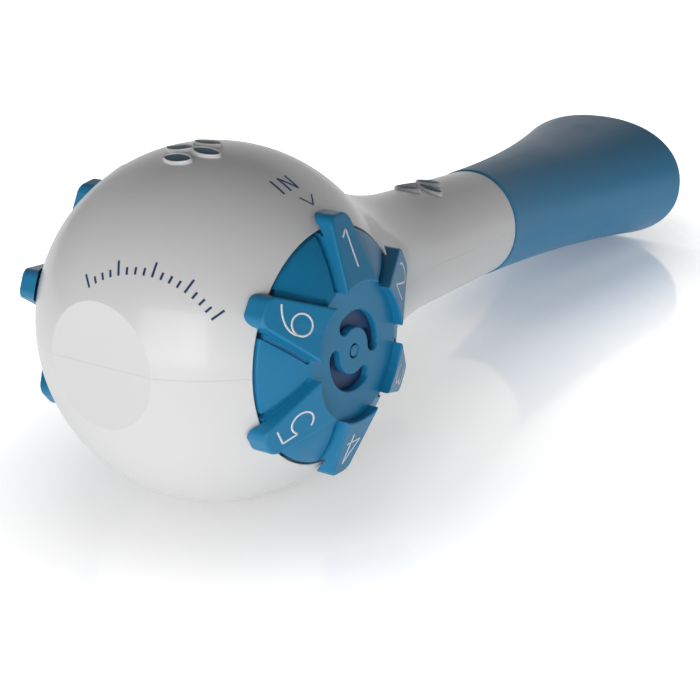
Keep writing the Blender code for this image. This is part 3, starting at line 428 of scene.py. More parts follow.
def finish_named(name):
    """The finish of a material slot, made once."""
    if name in bpy.data.materials:
        return bpy.data.materials[name]
    hue = settings("trainer_colours")
    # Each recipe's edge option sets how strongly its edges are painted paler as a highlight
    recipes = {
        "white_moulding_finish": (hue.white, 0.30, {
            "peel_scale": 260.0, "bump": 0.012, "shade": 0.012, "edge_highlight": 0.1, "roughness_spread": 0.025,
            "constants": {"IOR": 1.49, "Coat Weight": 0.25, "Coat Roughness": 0.08}}),
        "dial_blue_finish": (hue.dial, 0.36, {
            "grain_share": 0.7, "bump": 0.05, "shade": 0.06, "edge_highlight": 0.02,
            "constants": {"IOR": 1.38}}),
        "mouthpiece_blue_finish": (hue.mouthpiece, 0.40, {
            "grain_share": 0.8, "bump": 0.09, "shade": 0.07, "edge_highlight": 0.08}),
        "seat_navy_finish": (hue.seat, 0.42, {"bump": 0.04, "edge_highlight": 0.0,
                                              "constants": {"Specular IOR Level": 0.2}}),
        "inlay_blue_finish": (hue.inlay, 0.58, {
            "grain_scale": 9000.0, "grain_share": 0.9, "bump": 0.12, "shade": 0.10, "edge_highlight": 0.0,
            "constants": {"Sheen Weight": 0.15}}),
        "valve_silicone_finish": (hue.silicone, 0.48, {"bump": 0.03, "shade": 0.05}),
        "seal_rubber_finish": (hue.rubber, 0.62, {"bump": 0.10, "shade": 0.15}),
        "number_print_finish": (hue.number, 0.45, {"bump": 0.02, "shade": 0.04, "edge_highlight": 0.0}),
        "navy_print_finish": (hue.print_navy, 0.35, {"bump": 0.02, "shade": 0.06, "edge_highlight": 0.0}),
    }
    base, roughness, more = recipes[name]
    return moulding_finish(name, list(base), roughness, **more)


# Curves and meshes

def ball_centre():
    return Vector((FRONT_X + body_sizes().front_flat, 0, AXIS_Z))


def valve_matrix(side):
    """Matrix of a dial's axis: -1 for the inhale side, +1 for the exhale side."""
    if side < 0:
        turn = Euler((math.pi / 2, 0, 0))
    else:
        turn = Euler((math.pi / 2, dial_sizes().exhale_turn, math.pi), "XYZ")
    return Matrix.Translation(ball_centre()) @ turn.to_matrix().to_4x4()


def arc(centre, radius, start, end, step=FINE_ARC):
    count = max(2, math.ceil(abs(end - start) / step))
    angles = [start + (end - start) * i / count for i in range(count + 1)]
    return [(centre[0] + radius * math.cos(a), centre[1] + radius * math.sin(a)) for a in angles]


def polar(radius, heading):
    """Dial coordinates: headings clockwise from the top, seen from outside."""
    return (radius * math.sin(heading), radius * math.cos(heading))


def sphere_height(radius, sphere):
    return math.sqrt(sphere ** 2 - radius ** 2)


def finished_object(name, mesh, material, body, replaced=()):
    """Link a finished mesh as a piece that rides on a body and may stand for CAD nodes."""
    piece = linked(name, mesh)
    mesh.materials.clear()
    mesh.materials.append(material)
    if replaced:
        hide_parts(*replaced)
    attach(piece, body)


def plain_mesh(name, shape):
    """A mesh from a bmesh, which is freed, with its faces turned outwards."""
    bmesh.ops.recalc_face_normals(shape, faces=shape.faces)
    mesh = bpy.data.meshes.new(name)
    shape.to_mesh(mesh)
    shape.free()
    return mesh


def mesh_object(name, shape):
    return linked(name, plain_mesh(name, shape))


def mesh_of(source):
    """The mesh of an object, which is removed."""
    mesh = source.data
    bpy.data.objects.remove(source, do_unlink=True)
    return mesh


def taken(mesh):
    """A bmesh of a mesh, which is removed."""
    shape = bmesh.new()
    shape.from_mesh(mesh)
    bpy.data.meshes.remove(mesh)
    return shape


def turned(outline, steps, along_x=False, half_step=False):
    """Spin a closed outline of (distance along the axis, radius) about X or Z."""
    shape = bmesh.new()
    offset = 0.5 if half_step else 0.0
    rings = []
    for along, radius in outline:
        if radius < TINY:
            point = (along, 0, 0) if along_x else (0, 0, along)
            rings.append([shape.verts.new(point)])
            continue
        ring = []
        for i in range(steps):
            turn = 2 * math.pi * (i + offset) / steps
            side, up = radius * math.sin(turn), radius * math.cos(turn)
            ring.append(shape.verts.new((along, side, up) if along_x else (side, up, along)))
        rings.append(ring)
    for index, ring in enumerate(rings):
        before = rings[index - 1]
        if len(ring) == 1 and len(before) == 1:
            continue
        for j in range(steps):
            corners = [before[j - 1 if len(before) > 1 else 0], before[j if len(before) > 1 else 0],
                       ring[j if len(ring) > 1 else 0], ring[j - 1 if len(ring) > 1 else 0]]
            shape.faces.new(list(dict.fromkeys(corners)))
    return shape


def stacked(rings):
    """Join equal rings of points into a tube, with its two ends filled."""
    shape = bmesh.new()
    loops = [[shape.verts.new(point) for point in ring] for ring in rings]
    for before, after in zip(loops, loops[1:]):
        for j in range(len(after)):
            shape.faces.new((before[j - 1], before[j], after[j], after[j - 1]))
    shape.faces.new(loops[0])
    shape.faces.new(list(reversed(loops[-1])))
    return shape


def level(outline, height):
    """An outline in the XY plane, lifted to a height."""
    return [(x, y, height) for x, y in outline]


def joined(shapes):
    """One bmesh from several, which are freed."""
    whole = bmesh.new()
    for shape in shapes:
        mesh = bpy.data.meshes.new("joined_part")
        shape.to_mesh(mesh)
        shape.free()
        whole.from_mesh(mesh)
        bpy.data.meshes.remove(mesh)
    return whole


SHARPEST_MITRE = 0.4


def inset_outline(outline, distance):
    """Move a closed outline inwards by a distance, corners mitred."""
    points = np.array(outline)
    edges = np.roll(points, -1, axis=0) - points
    edges /= np.linalg.norm(edges, axis=1)[:, None]
    normals = np.stack([-edges[:, 1], edges[:, 0]], axis=1)
    x, y = points[:, 0], points[:, 1]
    if np.sum(x * np.roll(y, -1) - y * np.roll(x, -1)) < 0:
        normals = -normals
    before = np.roll(normals, 1, axis=0)
    middle = before + normals
    middle /= np.linalg.norm(middle, axis=1)[:, None]
    reach = distance / np.clip(np.sum(middle * normals, axis=1), SHARPEST_MITRE, 1.0)
    return [tuple(point) for point in points + middle * reach[:, None]]


def cut(target, shape, operation, matrix=None):
    """Apply a boolean with a bmesh to an object's mesh."""
    tool = mesh_object("tool", shape)
    if matrix:
        tool.data.transform(matrix)
    modifier = target.modifiers.new("cut", "BOOLEAN")
    modifier.operation = operation
    modifier.object = tool
    modifier.solver = "MANIFOLD"
    mesh = evaluated_mesh(target)
    target.modifiers.remove(modifier)
    old = target.data
    target.data = mesh
    bpy.data.meshes.remove(old)
    bpy.data.objects.remove(tool, do_unlink=True)
    if not mesh.polygons:
        raise RuntimeError(f"{target.name}: {operation} left no faces")


# Shading: weight of large faces, angle of a sharp edge on hard and on soft pieces, how near a
# corner lies to a known surface, and the cosine of the turn that its face may have from it
FACE_WEIGHT = 80
SHARP_ANGLE = math.radians(32.0)
SOFT_SHARP_ANGLE = math.radians(40.0)
ON_SURFACE = 0.015 * MM
FACING_SURFACE = 0.985


def weigh_normals(mesh):
    """Let the larger faces set the shading at the edges of the small ones."""
    holder = linked("weighed", mesh)
    modifier = holder.modifiers.new("weigh", "WEIGHTED_NORMAL")
    modifier.weight = FACE_WEIGHT
    modifier.keep_sharp = True
    weighed = evaluated_mesh(holder)
    normals = read_array(weighed.corner_normals, "vector")
    bpy.data.objects.remove(holder, do_unlink=True)
    bpy.data.meshes.remove(weighed)
    mesh.normals_split_custom_set(normals.tolist())


def smooth_with_rules(mesh, rules):
    """Shade a mesh smooth, and give corners on a known surface that surface's normal.

    Each rule takes points and returns their distances from a surface and its normals.
    """
    mesh.shade_smooth()
    mesh.set_sharp_from_angle(angle=SHARP_ANGLE)
    weigh_normals(mesh)
    normals = read_array(mesh.corner_normals, "vector")
    corners = read_array(mesh.loops, "vertex_index", 1, np.int32)
    points = read_array(mesh.vertices, "co")[corners].astype(float)
    totals = read_array(mesh.polygons, "loop_total", 1, np.int32)
    per_corner = np.repeat(read_array(mesh.polygons, "normal"), totals, axis=0)
    for rule in rules:
        distance, direction = rule(points)
        along = np.sum(per_corner * direction, axis=1)
        on_surface = (np.abs(distance) < ON_SURFACE) & (along > FACING_SURFACE)
        normals[on_surface] = direction[on_surface]
    mesh.normals_split_custom_set(normals.tolist())


# Body: ball, neck, handle

def handle_radius(station, inset=0.0):
    body = body_sizes()
    end = HANDLE_END_X - ball_centre().x
    return body.handle_end_radius + body.handle_taper * (end - station) - inset


def neck_centre(inset=0.0):
    """Centre of the hollow fillet that joins the ball to the tapered handle."""
    body = body_sizes()
    slope = math.hypot(1, body.handle_taper)
    fillet = body.neck_fillet + inset
    start = Vector((0, handle_radius(0, inset) + fillet * slope))
    along = Vector((1, -body.handle_taper)) / slope
    middle = -start.dot(along)
    half = math.sqrt(middle ** 2 - start.length_squared + (body.ball_radius - inset + fillet) ** 2)
    return start + along * (middle + half)


def neck_arc(inset=0.0):
    centre = neck_centre(inset)
    from_ball = math.atan2(-centre.y, -centre.x)
    to_handle = math.atan2(-1, -body_sizes().handle_taper)
    return arc(centre, body_sizes().neck_fillet + inset, from_ball, to_handle, NECK_ARC)


def body_outline(inset=0.0, step=BODY_ARC, edge=0.0):
    """Outline of ball, neck and handle; edge rounds the corner of the front flat."""
    body = body_sizes()
    radius = body.ball_radius - inset
    front = -body.front_flat + inset
    neck = neck_arc(inset)
    end = math.atan2(neck[0][1], neck[0][0])
    if not edge:
        return [(front, 0)] + arc((0, 0), radius, math.acos(front / radius), end, step)[:-1] + neck
    centre_x = front + edge
    centre = (centre_x, math.sqrt((radius - edge) ** 2 - centre_x ** 2))
    tangent = math.atan2(centre[1], centre[0])
    corner = arc(centre, edge, math.pi, tangent, FLAT_EDGE_ARC)
    ball = arc((0, 0), radius, tangent, end, step)[1:-1]
    return [(front, 0), (front, centre[1] / 2)] + corner + ball + neck


def body_surface_radius(station):
    neck = neck_arc()
    if station <= neck[0][0]:
        return sphere_height(station, body_sizes().ball_radius)
    if station >= neck[-1][0]:
        return handle_radius(station)
    centre = neck_centre()
    return centre.y - math.sqrt(body_sizes().neck_fillet ** 2 - (station - centre.x) ** 2)


def ball_rule(points):
    offset = points - np.array(ball_centre())
    reach = np.linalg.norm(offset, axis=1)
    return reach - body_sizes().ball_radius, offset / reach[:, None]


def from_axis(points):
    """Stations, radii and outward directions of points round the handle's axis."""
    height = points[:, 2] - AXIS_Z
    radius = np.maximum(np.hypot(points[:, 1], height), TINY)
    return points[:, 0] - ball_centre().x, radius, points[:, 1] / radius, height / radius


def neck_rule(points):
    """Distance from the neck's hollow fillet, and its outward normals."""
    centre = neck_centre()
    station, radius, side, up = from_axis(points)
    along, out = centre.x - station, centre.y - radius
    reach = np.hypot(along, out)
    distance = body_sizes().neck_fillet - reach
    return distance, np.stack([along / reach, out / reach * side, out / reach * up], axis=1)


def cone_rule(points):
    """Distance from the tapered handle, and its outward normals."""
    taper = body_sizes().handle_taper
    station, radius, side, up = from_axis(points)
    slope = math.hypot(1, taper)
    normal = np.stack([np.full(len(points), taper / slope), side / slope, up / slope], axis=1)
    return radius - handle_radius(station), normal


def hub_rule(points):
    """Distance from the plane of either dial's hub, and its outward normal."""
    side = np.sign(points[:, 1])
    normal = np.stack([np.zeros(len(points)), side, np.zeros(len(points))], axis=1)
    return np.abs(points[:, 1]) - dial_sizes().hub_height, normal


def flat_rule(points):
    normal = np.tile([-1.0, 0.0, 0.0], (len(points), 1))
    return FRONT_X - points[:, 0], normal


SEAT_GAP = 0.3 * MM
POCKET_RIB_RADIUS = 18.4 * MM
POCKET_RIB_THICKNESS = 1.1 * MM
POCKET_BOSS_RADIUS = 23.0 * MM
GROOVE_BOTTOM = -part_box("inhale_seat")[1].y - SEAT_GAP
GROOVE_TOP = -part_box("inhale_seat_gasket")[0].y + SEAT_GAP
POCKET_BOTTOM = GROOVE_BOTTOM - POCKET_RIB_THICKNESS
POCKET_TOP = GROOVE_TOP + POCKET_RIB_THICKNESS
SEAT_FLANGE_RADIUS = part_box("inhale_seat")[1].z - AXIS_Z
COLLAR_LENGTH = 13.0 * MM
COLLAR_BORE = 10.2 * MM
FLANGE_RADIUS = 11.0 * MM
FLANGE_SETBACK = 5.0 * MM
FLANGE_THICKNESS = 2.0 * MM
TRACK_RISE = 0.1 * MM
TRACK_MARGIN = 0.6 * MM
END_EDGE = 0.25 * MM
OPENING_SPREAD = math.radians(7.0)


def outer_body():
    end = HANDLE_END_X - ball_centre().x
    radius = handle_radius(end)
    rounding = arc((end - END_EDGE, radius - END_EDGE), END_EDGE, math.pi / 2, 0, END_ARC)
    outline = body_outline(edge=body_sizes().flat_edge) + rounding + [(end, 0)]
    return turned(outline, BODY_STEPS, along_x=True)


def airway():
    body = body_sizes()
    end = HANDLE_END_X - ball_centre().x
    collar = end - COLLAR_LENGTH
    groove_high = end - FLANGE_SETBACK + SEAT_GAP
    groove_low = groove_high - FLANGE_THICKNESS - 2 * SEAT_GAP
    groove = FLANGE_RADIUS + SEAT_GAP
    outline = body_outline(body.wall, AIRWAY_ARC)
    outline += [(collar - body.wall, handle_radius(collar, body.wall)), (collar, COLLAR_BORE),
                (groove_low, COLLAR_BORE), (groove_low, groove), (groove_high, groove),
                (groove_high, COLLAR_BORE), (end + body.wall, COLLAR_BORE), (end + body.wall, 0)]
    return turned(outline, BORE_STEPS, along_x=True, half_step=True)


def pocket_boss():
    inner = POCKET_RIB_RADIUS - body_sizes().wall
    top = POCKET_TOP + SEAT_GAP
    return turned([(POCKET_BOTTOM, inner), (POCKET_BOTTOM, POCKET_BOSS_RADIUS),
                   (top, POCKET_BOSS_RADIUS), (top, inner)], BORE_STEPS, half_step=True)


def pocket_cut():
    """Pocket for dial and seat, with a rounded edge where it opens in the ball."""
    body = body_sizes()
    opening, edge = body.opening_radius, body.opening_edge
    groove = SEAT_FLANGE_RADIUS + SEAT_GAP
    centre_radius = opening + edge
    centre_height = math.sqrt((body.ball_radius - edge) ** 2 - centre_radius ** 2)
    tangent = math.atan2(centre_height, centre_radius)
    rounding = arc((centre_radius, centre_height), edge, math.pi, tangent + 2 * OPENING_SPREAD,
                   OPENING_ARC)
    rounding = [(height, radius) for radius, height in rounding]
    past_height, past_radius = rounding[-1]
    lift = body.wall
    rounding.append((past_height + lift, past_radius + lift * math.tan(tangent + OPENING_SPREAD)))
    top = body.ball_radius + lift
    return turned([(POCKET_BOTTOM - lift, 0), (POCKET_BOTTOM - lift, POCKET_RIB_RADIUS),
                   (GROOVE_BOTTOM, POCKET_RIB_RADIUS), (GROOVE_BOTTOM, groove),
                   (GROOVE_TOP, groove), (GROOVE_TOP, POCKET_RIB_RADIUS),
                   (POCKET_TOP, POCKET_RIB_RADIUS), (POCKET_TOP, opening)] + rounding
                  + [(top, rounding[-1][1]), (top, 0)], DIAL_STEPS)


def lug_track():
    """Relief in the neck that the lugs pass through as a dial turns."""
    body, dial = body_sizes(), dial_sizes()
    sphere = body.ball_radius + TRACK_RISE
    inner, outer = dial.radius, dial.lug_tip + TRACK_MARGIN
    floor = [(sphere_height(radius, sphere), radius) for radius in np.linspace(inner, outer, 6)]
    return turned(floor + [(body.ball_radius, outer), (body.ball_radius, inner)], DIAL_STEPS,
                  half_step=True)


def half_space(side):
    body = body_sizes()
    reach = RIM_X - FRONT_X
    low, high = sorted((side * body.parting_gap / 2, side * body.ball_radius * 2))
    square = [(-reach, -reach), (reach, -reach), (reach, reach), (-reach, reach)]
    return stacked([level(square, z) for z in (low, high)])


# Grip pads

# Exponent of the lozenge's outline, the rim's rounding and root, its foot and the recess's flare
# as heights with margins, and the rings of an inlay's face as shares of its outline
PAD_POWER = 1.15
PAD_EDGE = 0.16 * MM
PAD_ROOT = 1.0 * MM
PAD_FOOT = ((-PAD_ROOT, 0.25 * MM), (0.05 * MM, 0.16 * MM), (0.2 * MM, 0.03 * MM))
RECESS_DEPTH = 0.5 * MM
RECESS_FLARE = ((-0.1 * MM, 0.02 * MM), (-0.03 * MM, 0.05 * MM), (0.0, 0.12 * MM))
INLAY_GAP = 0.06 * MM
INLAY_DEPTH = 0.7 * MM
INLAY_EDGE = 0.18 * MM
INLAY_CROWN = 0.12 * MM
INLAY_FACE = (0.7, 0.35, 0.05)


def pad_outline(margin=0.0):
    """Lozenge with soft corners, long across the handle."""
    body = body_sizes()
    outline = []
    for i in range(PAD_POINTS):
        turn = 2 * math.pi * i / PAD_POINTS
        x, y = (math.copysign(abs(wave) ** PAD_POWER, wave) for wave in (math.cos(turn), math.sin(turn)))
        outline.append(((body.pad_half_width + margin) * x, (body.pad_half_length + margin) * y))
    return outline


def pad_places(station, side):
    """Matrices that put a pad's XY plane on the body, in a rhombus of four."""
    body = body_sizes()
    places = []
    for row, lateral in ((-1, 0.0), (0, -1.0), (0, 1.0), (1, 0.0)):
        here = station + row * body.pad_pitch
        radius = body_surface_radius(here)
        pitch = math.atan2(radius - body_surface_radius(here + MM), MM)
        roll = lateral * body.pad_side_offset / radius
        turn = Matrix.Rotation(-roll, 4, "X") @ Matrix.Translation((here, 0, radius))
        flip = Matrix.Rotation(math.pi, 4, "X") if side < 0 else Matrix.Identity(4)
        places.append(Matrix.Translation(ball_centre()) @ flip @ turn @ Matrix.Rotation(pitch, 4, "Y"))
    return places


def cluster_places(side):
    body = body_sizes()
    if side < 0:
        return pad_places(body.finger_cluster, side)
    return pad_places(body.crown_cluster, side) + pad_places(body.thumb_cluster, side)


def pad_boss():
    """Raised rim round an inlay, with a rounded top edge and a spread foot."""
    body = body_sizes()
    rings = [level(pad_outline(body.pad_rim + margin), height) for height, margin in PAD_FOOT]
    for turn in np.linspace(0, math.pi / 2, SMALL_EDGE_POINTS):
        margin = body.pad_rim - PAD_EDGE * (1 - math.cos(turn))
        rings.append(level(pad_outline(margin), body.pad_rise - PAD_EDGE * (1 - math.sin(turn))))
    return stacked(rings)


def pad_recess():
    rise = body_sizes().pad_rise
    steps = [(-RECESS_DEPTH, RECESS_FLARE[0][1])]
    steps += [(rise + height, margin) for height, margin in RECESS_FLARE]
    steps.append((rise * 2, RECESS_FLARE[-1][1]))
    return stacked([level(pad_outline(margin), height) for height, margin in steps])


def placed(make_one, places):
    shapes = []
    for place in places:
        shape = make_one()
        shape.transform(place)
        shapes.append(shape)
    return joined(shapes)


class TRAINER_OT_shells(bpy.types.Operator):
    """Build the upper and lower shell with their dial openings and grip rims"""
    bl_idname = "trainer.shells"
    bl_label = "Build the shells"

    def execute(self, context):
        for side, name in ((1, "upper_shell"), (-1, "lower_shell")):
            shell = mesh_object(name + "_finished", outer_body())
            at_centre = Matrix.Translation(ball_centre())
            shell.data.transform(at_centre)
            cut(shell, placed(pad_boss, cluster_places(side)), "UNION")
            cut(shell, placed(pad_recess, cluster_places(side)), "DIFFERENCE")
            cut(shell, airway(), "DIFFERENCE", at_centre)
            for valve in (-1, 1):
                cut(shell, pocket_boss(), "UNION", valve_matrix(valve))
                cut(shell, pocket_cut(), "DIFFERENCE", valve_matrix(valve))
                cut(shell, lug_track(), "DIFFERENCE", valve_matrix(valve))
            cut(shell, half_space(side), "INTERSECT", at_centre)
            mesh = mesh_of(shell)
            smooth_with_rules(mesh, [ball_rule, neck_rule, cone_rule, flat_rule])
            finished_object(name + "_finished", mesh, finish_named("white_moulding_finish"),
                            "housing", [name])
        return {"FINISHED"}


def inlay_tree():
    """Puts an inlay on each point, turned by the point's own turn."""
    tree, given, out = geometry_tree("grip_inlays", [("Inlay", "Object", None)])
    turn = add_node(tree, "GeometryNodeInputNamedAttribute", {"Name": "turn"}, data_type="FLOAT_VECTOR")
    inlay = add_node(tree, "GeometryNodeObjectInfo", {"Object": given["Inlay"]})
    rotation = add_node(tree, "FunctionNodeEulerToRotation", {0: turn.outputs["Attribute"]})
    spread = add_node(tree, "GeometryNodeInstanceOnPoints",
                      {"Points": given["Geometry"], "Instance": inlay.outputs["Geometry"],
                       "Rotation": rotation.outputs[0]})
    return close_tree(tree, spread, given, out)


def inlay_shape():
    """Soft lozenge with a rounded edge and a crowned face."""
    body = body_sizes()
    top = body.pad_rise - body.inlay_sink
    rings = [level(pad_outline(-INLAY_GAP), top - INLAY_DEPTH)]
    for turn in np.linspace(0, math.pi / 2, SMALL_EDGE_POINTS):
        margin = -INLAY_GAP - INLAY_EDGE * (1 - math.cos(turn))
        rings.append(level(pad_outline(margin), top - INLAY_CROWN - INLAY_EDGE * (1 - math.sin(turn))))
    for share in INLAY_FACE:
        face = [(x * share, y * share) for x, y in pad_outline(-INLAY_GAP - INLAY_EDGE)]
        rings.append(level(face, top - INLAY_CROWN * share ** 2))
    return stacked(rings)


class TRAINER_OT_inlays(bpy.types.Operator):
    """Set the soft inlays into the grip rims"""
    bl_idname = "trainer.inlays"
    bl_label = "Set the grip inlays"

    def execute(self, context):
        material = finish_named("inlay_blue_finish")
        places = cluster_places(1) + cluster_places(-1)
        points = bpy.data.meshes.new("inlay_points")
        points.from_pydata([place.translation for place in places], [], [])
        turn = points.attributes.new("turn", "FLOAT_VECTOR", "POINT")
        turns = [tuple(place.to_euler("XYZ")) for place in places]
        turn.data.foreach_set("vector", np.array(turns, np.float32).ravel())
        one = mesh_object("inlay", inlay_shape())
        one.data.shade_smooth()
        one.data.set_sharp_from_angle(angle=SOFT_SHARP_ANGLE)
        mesh = run_geometry_nodes(linked("inlay_points", points), inlay_tree(),
                                  {"Inlay": one, "Material": material})
        bpy.data.objects.remove(one, do_unlink=True)
        finished_object("grip_inlays", mesh, material, "housing", INLAY_NODES)
        return {"FINISHED"}


# Dials

def hub_radius():
    return sphere_height(dial_sizes().hub_height, body_sizes().ball_radius)


def lug_half_width(radius):
    dial = dial_sizes()
    share = (radius - hub_radius()) / (dial.lug_tip - hub_radius())
    return dial.lug_inner_width + (dial.lug_tip_width - dial.lug_inner_width) * share


def lug_height(reach):
    dial = dial_sizes()
    return dial.hub_height + dial.lug_rise - dial.lug_slope * (reach - hub_radius())


LUG_INSET = 0.15 * MM
LUG_ROOT_DEPTH = 1.0 * MM
LUG_ROOT_SETBACK = 0.6 * MM
LUG_CLEAR_SETBACK = 0.25 * MM
LUG_CLEAR_ANGLE = math.radians(60.0)
PIN_BORE, BORE_CHAMFER = 1.3 * MM, 0.15 * MM
NUB_REACH = 18.95 * MM
NUB_RADIUS = 0.7 * MM
NUB_HEIGHT = 1.0 * MM


def lug_outline():
    """A lug that points along +Y: arc round the hub, straight sides, round corners."""
    dial = dial_sizes()
    start = hub_radius() - LUG_INSET
    half = math.asin(dial.lug_inner_width / start)
    inner = [polar(start, half - 2 * half * i / LUG_ROOT_SPANS) for i in range(LUG_ROOT_SPANS + 1)]
    side = dial.lug_tip_width - dial.lug_corner
    top = dial.lug_tip - dial.lug_corner
    tip = arc((-side, top), dial.lug_corner, math.pi, math.pi / 2, CORNER_ARC)
    tip += arc((side, top), dial.lug_corner, math.pi / 2, 0, CORNER_ARC)
    return inner + tip


def lug_shape():
    """One lug along +Y with a sloping top and rounded top edges."""
    dial = dial_sizes()
    outline = lug_outline()
    rings = [level(outline, POCKET_BOTTOM)]
    for turn in np.linspace(0, math.pi / 2, EDGE_POINTS):
        inset = dial.lug_edge * (1 - math.cos(turn))
        drop = dial.lug_edge * (1 - math.sin(turn))
        moved = inset_outline(outline, inset) if inset > 0 else outline
        rings.append([(x, y, lug_height(y) - drop) for x, y in moved])
    return stacked(rings)


def ring_tree(name):
    """Repeats a shape round the dial's axis."""
    tree, given, out = geometry_tree(name, [("Count", "Int", 6)])
    points = add_node(tree, "GeometryNodePoints", {"Count": given["Count"]})
    index = tree.nodes.new("GeometryNodeInputIndex").outputs[0]
    share = math_node(tree, "DIVIDE", index, given["Count"])
    heading = math_node(tree, "MULTIPLY", share, -2 * math.pi)
    turn = add_node(tree, "ShaderNodeCombineXYZ", {2: heading})
    rotation = add_node(tree, "FunctionNodeEulerToRotation", {0: turn.outputs[0]})
    spread = add_node(tree, "GeometryNodeInstanceOnPoints",
                      {"Points": points.outputs[0], "Instance": given["Geometry"],
                       "Rotation": rotation.outputs[0]})
    return close_tree(tree, spread, given, out)


def ringed(shape, material):
    """A bmesh of a shape repeated round the dial's axis by geometry nodes."""
    tree = group_once("dial_ring", ring_tree)
    return taken(run_geometry_nodes(mesh_object("repeated", shape), tree,
                                    {"Count": dial_sizes().settings, "Material": material}))


def arc_slot(inner, outer, heading, span, grow=0.0):
    """Outline of a curved slot with round ends, grown by a margin."""
    middle = (inner + outer) / 2
    half_width = (outer - inner) / 2
    half_span = span / 2 - half_width / middle
    half_width += grow
    sweep = np.linspace(heading - half_span, heading + half_span, WINDOW_POINTS)
    outline = [polar(middle + half_width, a) for a in sweep]
    for last, side in ((sweep[-1], 1), (sweep[0], -1)):
        centre = Vector(polar(middle, last))
        outward = Vector(polar(1, last))
        along = Vector((outward.y, -outward.x)) * side
        turns = np.linspace(0, math.pi, HALF_ROUND_POINTS)[1:-1]
        end = [centre + half_width * (outward * math.cos(t) + along * math.sin(t))
               for t in (turns if side > 0 else turns[::-1])]
        outline += [tuple(point) for point in end]
        if side > 0:
            outline += [polar(middle - half_width, a) for a in reversed(sweep)]
    return outline


# Window chamfer: drop and growth of its middle and growth of its top, as shares of the chamfer
CHAMFER_SHARES = (0.4, 0.3, 1.2)
CHAMFER_TOP = 0.05 * MM


def window_shape():
    """Both windows, with a chamfer that opens at the hub's face."""
    dial = dial_sizes()
    chamfer = dial.window_edge
    low, narrow, wide = CHAMFER_SHARES
    shapes = []
    steps = ((-dial.hub_thickness - SEAT_GAP, 0), (-chamfer, 0), (-chamfer * low, chamfer * narrow),
             (CHAMFER_TOP, chamfer * wide), (dial.lug_rise * 2, chamfer * wide))
    for turn in (dial.window_turn, dial.window_turn + math.pi):
        rings = []
        for height, grow in steps:
            outline = arc_slot(dial.window_inner, dial.window_outer, turn, dial.window_span, grow)
            rings.append(level(outline, dial.hub_height + height))
        shapes.append(stacked(rings))
    return joined(shapes)


def channel_shape(side):
    """Cutter for the channel beside a lug, down to a ball-shaped floor."""
    dial, body = dial_sizes(), body_sizes()
    floor = body.ball_radius - dial.channel_depth
    start = hub_radius() - SEAT_GAP
    points = LUG_SIDE_POINTS
    near = [(lug_half_width(r) - LUG_INSET, r) for r in np.linspace(start, dial.lug_tip, points)]
    far = [(lug_half_width(r) + dial.channel_width, r) for r in np.linspace(dial.lug_tip, start, points)]
    middle, half = (near[0][0] + far[-1][0]) / 2, (far[-1][0] - near[0][0]) / 2
    end = arc((middle, start), half, 0, -math.pi, CHANNEL_ARC)[1:-1]
    outline = [(side * x, y) for x, y in near + far + end][::side]
    top = dial.hub_height + dial.lug_rise
    lower = [(x, y, sphere_height(math.hypot(x, y), floor)) for x, y in outline]
    return stacked([lower, level(outline, top)])


def notch_shape(side):
    """Cutter for the deep notch where the channel beside a lug runs out through the rim."""
    dial, body = dial_sizes(), body_sizes()
    half = lug_half_width(dial.radius)
    inner, outer = half - LUG_INSET, half + dial.channel_width
    start = math.sqrt(dial.radius ** 2 - inner ** 2) - dial.notch_length
    corners = [(inner, start), (outer, start), (outer, dial.lug_tip), (inner, dial.lug_tip)]
    outline = [(side * x, y) for x, y in corners][::side]
    face = sphere_height(dial.radius, body.ball_radius)
    rings = []
    for z, reach in ((face - dial.notch_depth, dial.notch_reach), (face - dial.channel_depth, 0),
                     (dial.hub_height, 0)):
        rings.append([(x, y - reach if y < dial.lug_tip else y, z) for x, y in outline])
    return stacked(rings)


def dial_plate():
    """Domed plate with a flat hub, a rounded rim, a pin bore and a skirt."""
    dial, body = dial_sizes(), body_sizes()
    ball, edge = body.ball_radius, dial.rim_edge
    inner = ball - dial.wall
    bottom = POCKET_TOP + SEAT_GAP
    skirt = dial.radius - dial.skirt_width
    hub_under = dial.hub_height - dial.hub_thickness
    centre_radius = dial.radius - edge
    centre_height = math.sqrt((ball - edge) ** 2 - centre_radius ** 2)
    rim_start = math.atan2(centre_radius, centre_height)
    dome = [(ball * math.cos(a), ball * math.sin(a))
            for a in np.linspace(math.asin(hub_radius() / ball), rim_start, DOME_POINTS)]
    rim = [(centre_height + edge * math.cos(a), centre_radius + edge * math.sin(a))
           for a in np.linspace(rim_start, math.pi / 2, EDGE_POINTS)[1:]]
    under = [(inner * math.cos(a), inner * math.sin(a))
             for a in np.linspace(math.asin(skirt / inner), math.acos(hub_under / inner), UNDER_POINTS)]
    face = np.linspace(PIN_BORE + BORE_CHAMFER, hub_radius(), HUB_POINTS)[:-1]
    outline = [(dial.hub_height - BORE_CHAMFER, PIN_BORE)] + [(dial.hub_height, r) for r in face]
    outline += dome + rim
    outline += [(bottom, dial.radius), (bottom, skirt)] + under + [(hub_under, PIN_BORE)]
    return turned(outline, DIAL_STEPS)


def lug_underside():
    """Frees the lugs from the ball past the dial's edge and roots them inside it."""
    dial, body = dial_sizes(), body_sizes()
    root, clear = body.ball_radius - LUG_ROOT_DEPTH, body.ball_radius + dial.lug_gap
    last = math.asin((dial.radius - LUG_ROOT_SETBACK) / root)
    first = math.asin((dial.radius - LUG_CLEAR_SETBACK) / clear)
    inside = [(root * math.cos(a), root * math.sin(a)) for a in np.linspace(0, last, 12)]
    outside = [(clear * math.cos(a), clear * math.sin(a)) for a in np.linspace(first, LUG_CLEAR_ANGLE, 8)]
    return turned(inside + outside + [(0, outside[-1][1]), (0, 0)], DIAL_STEPS, half_step=True)


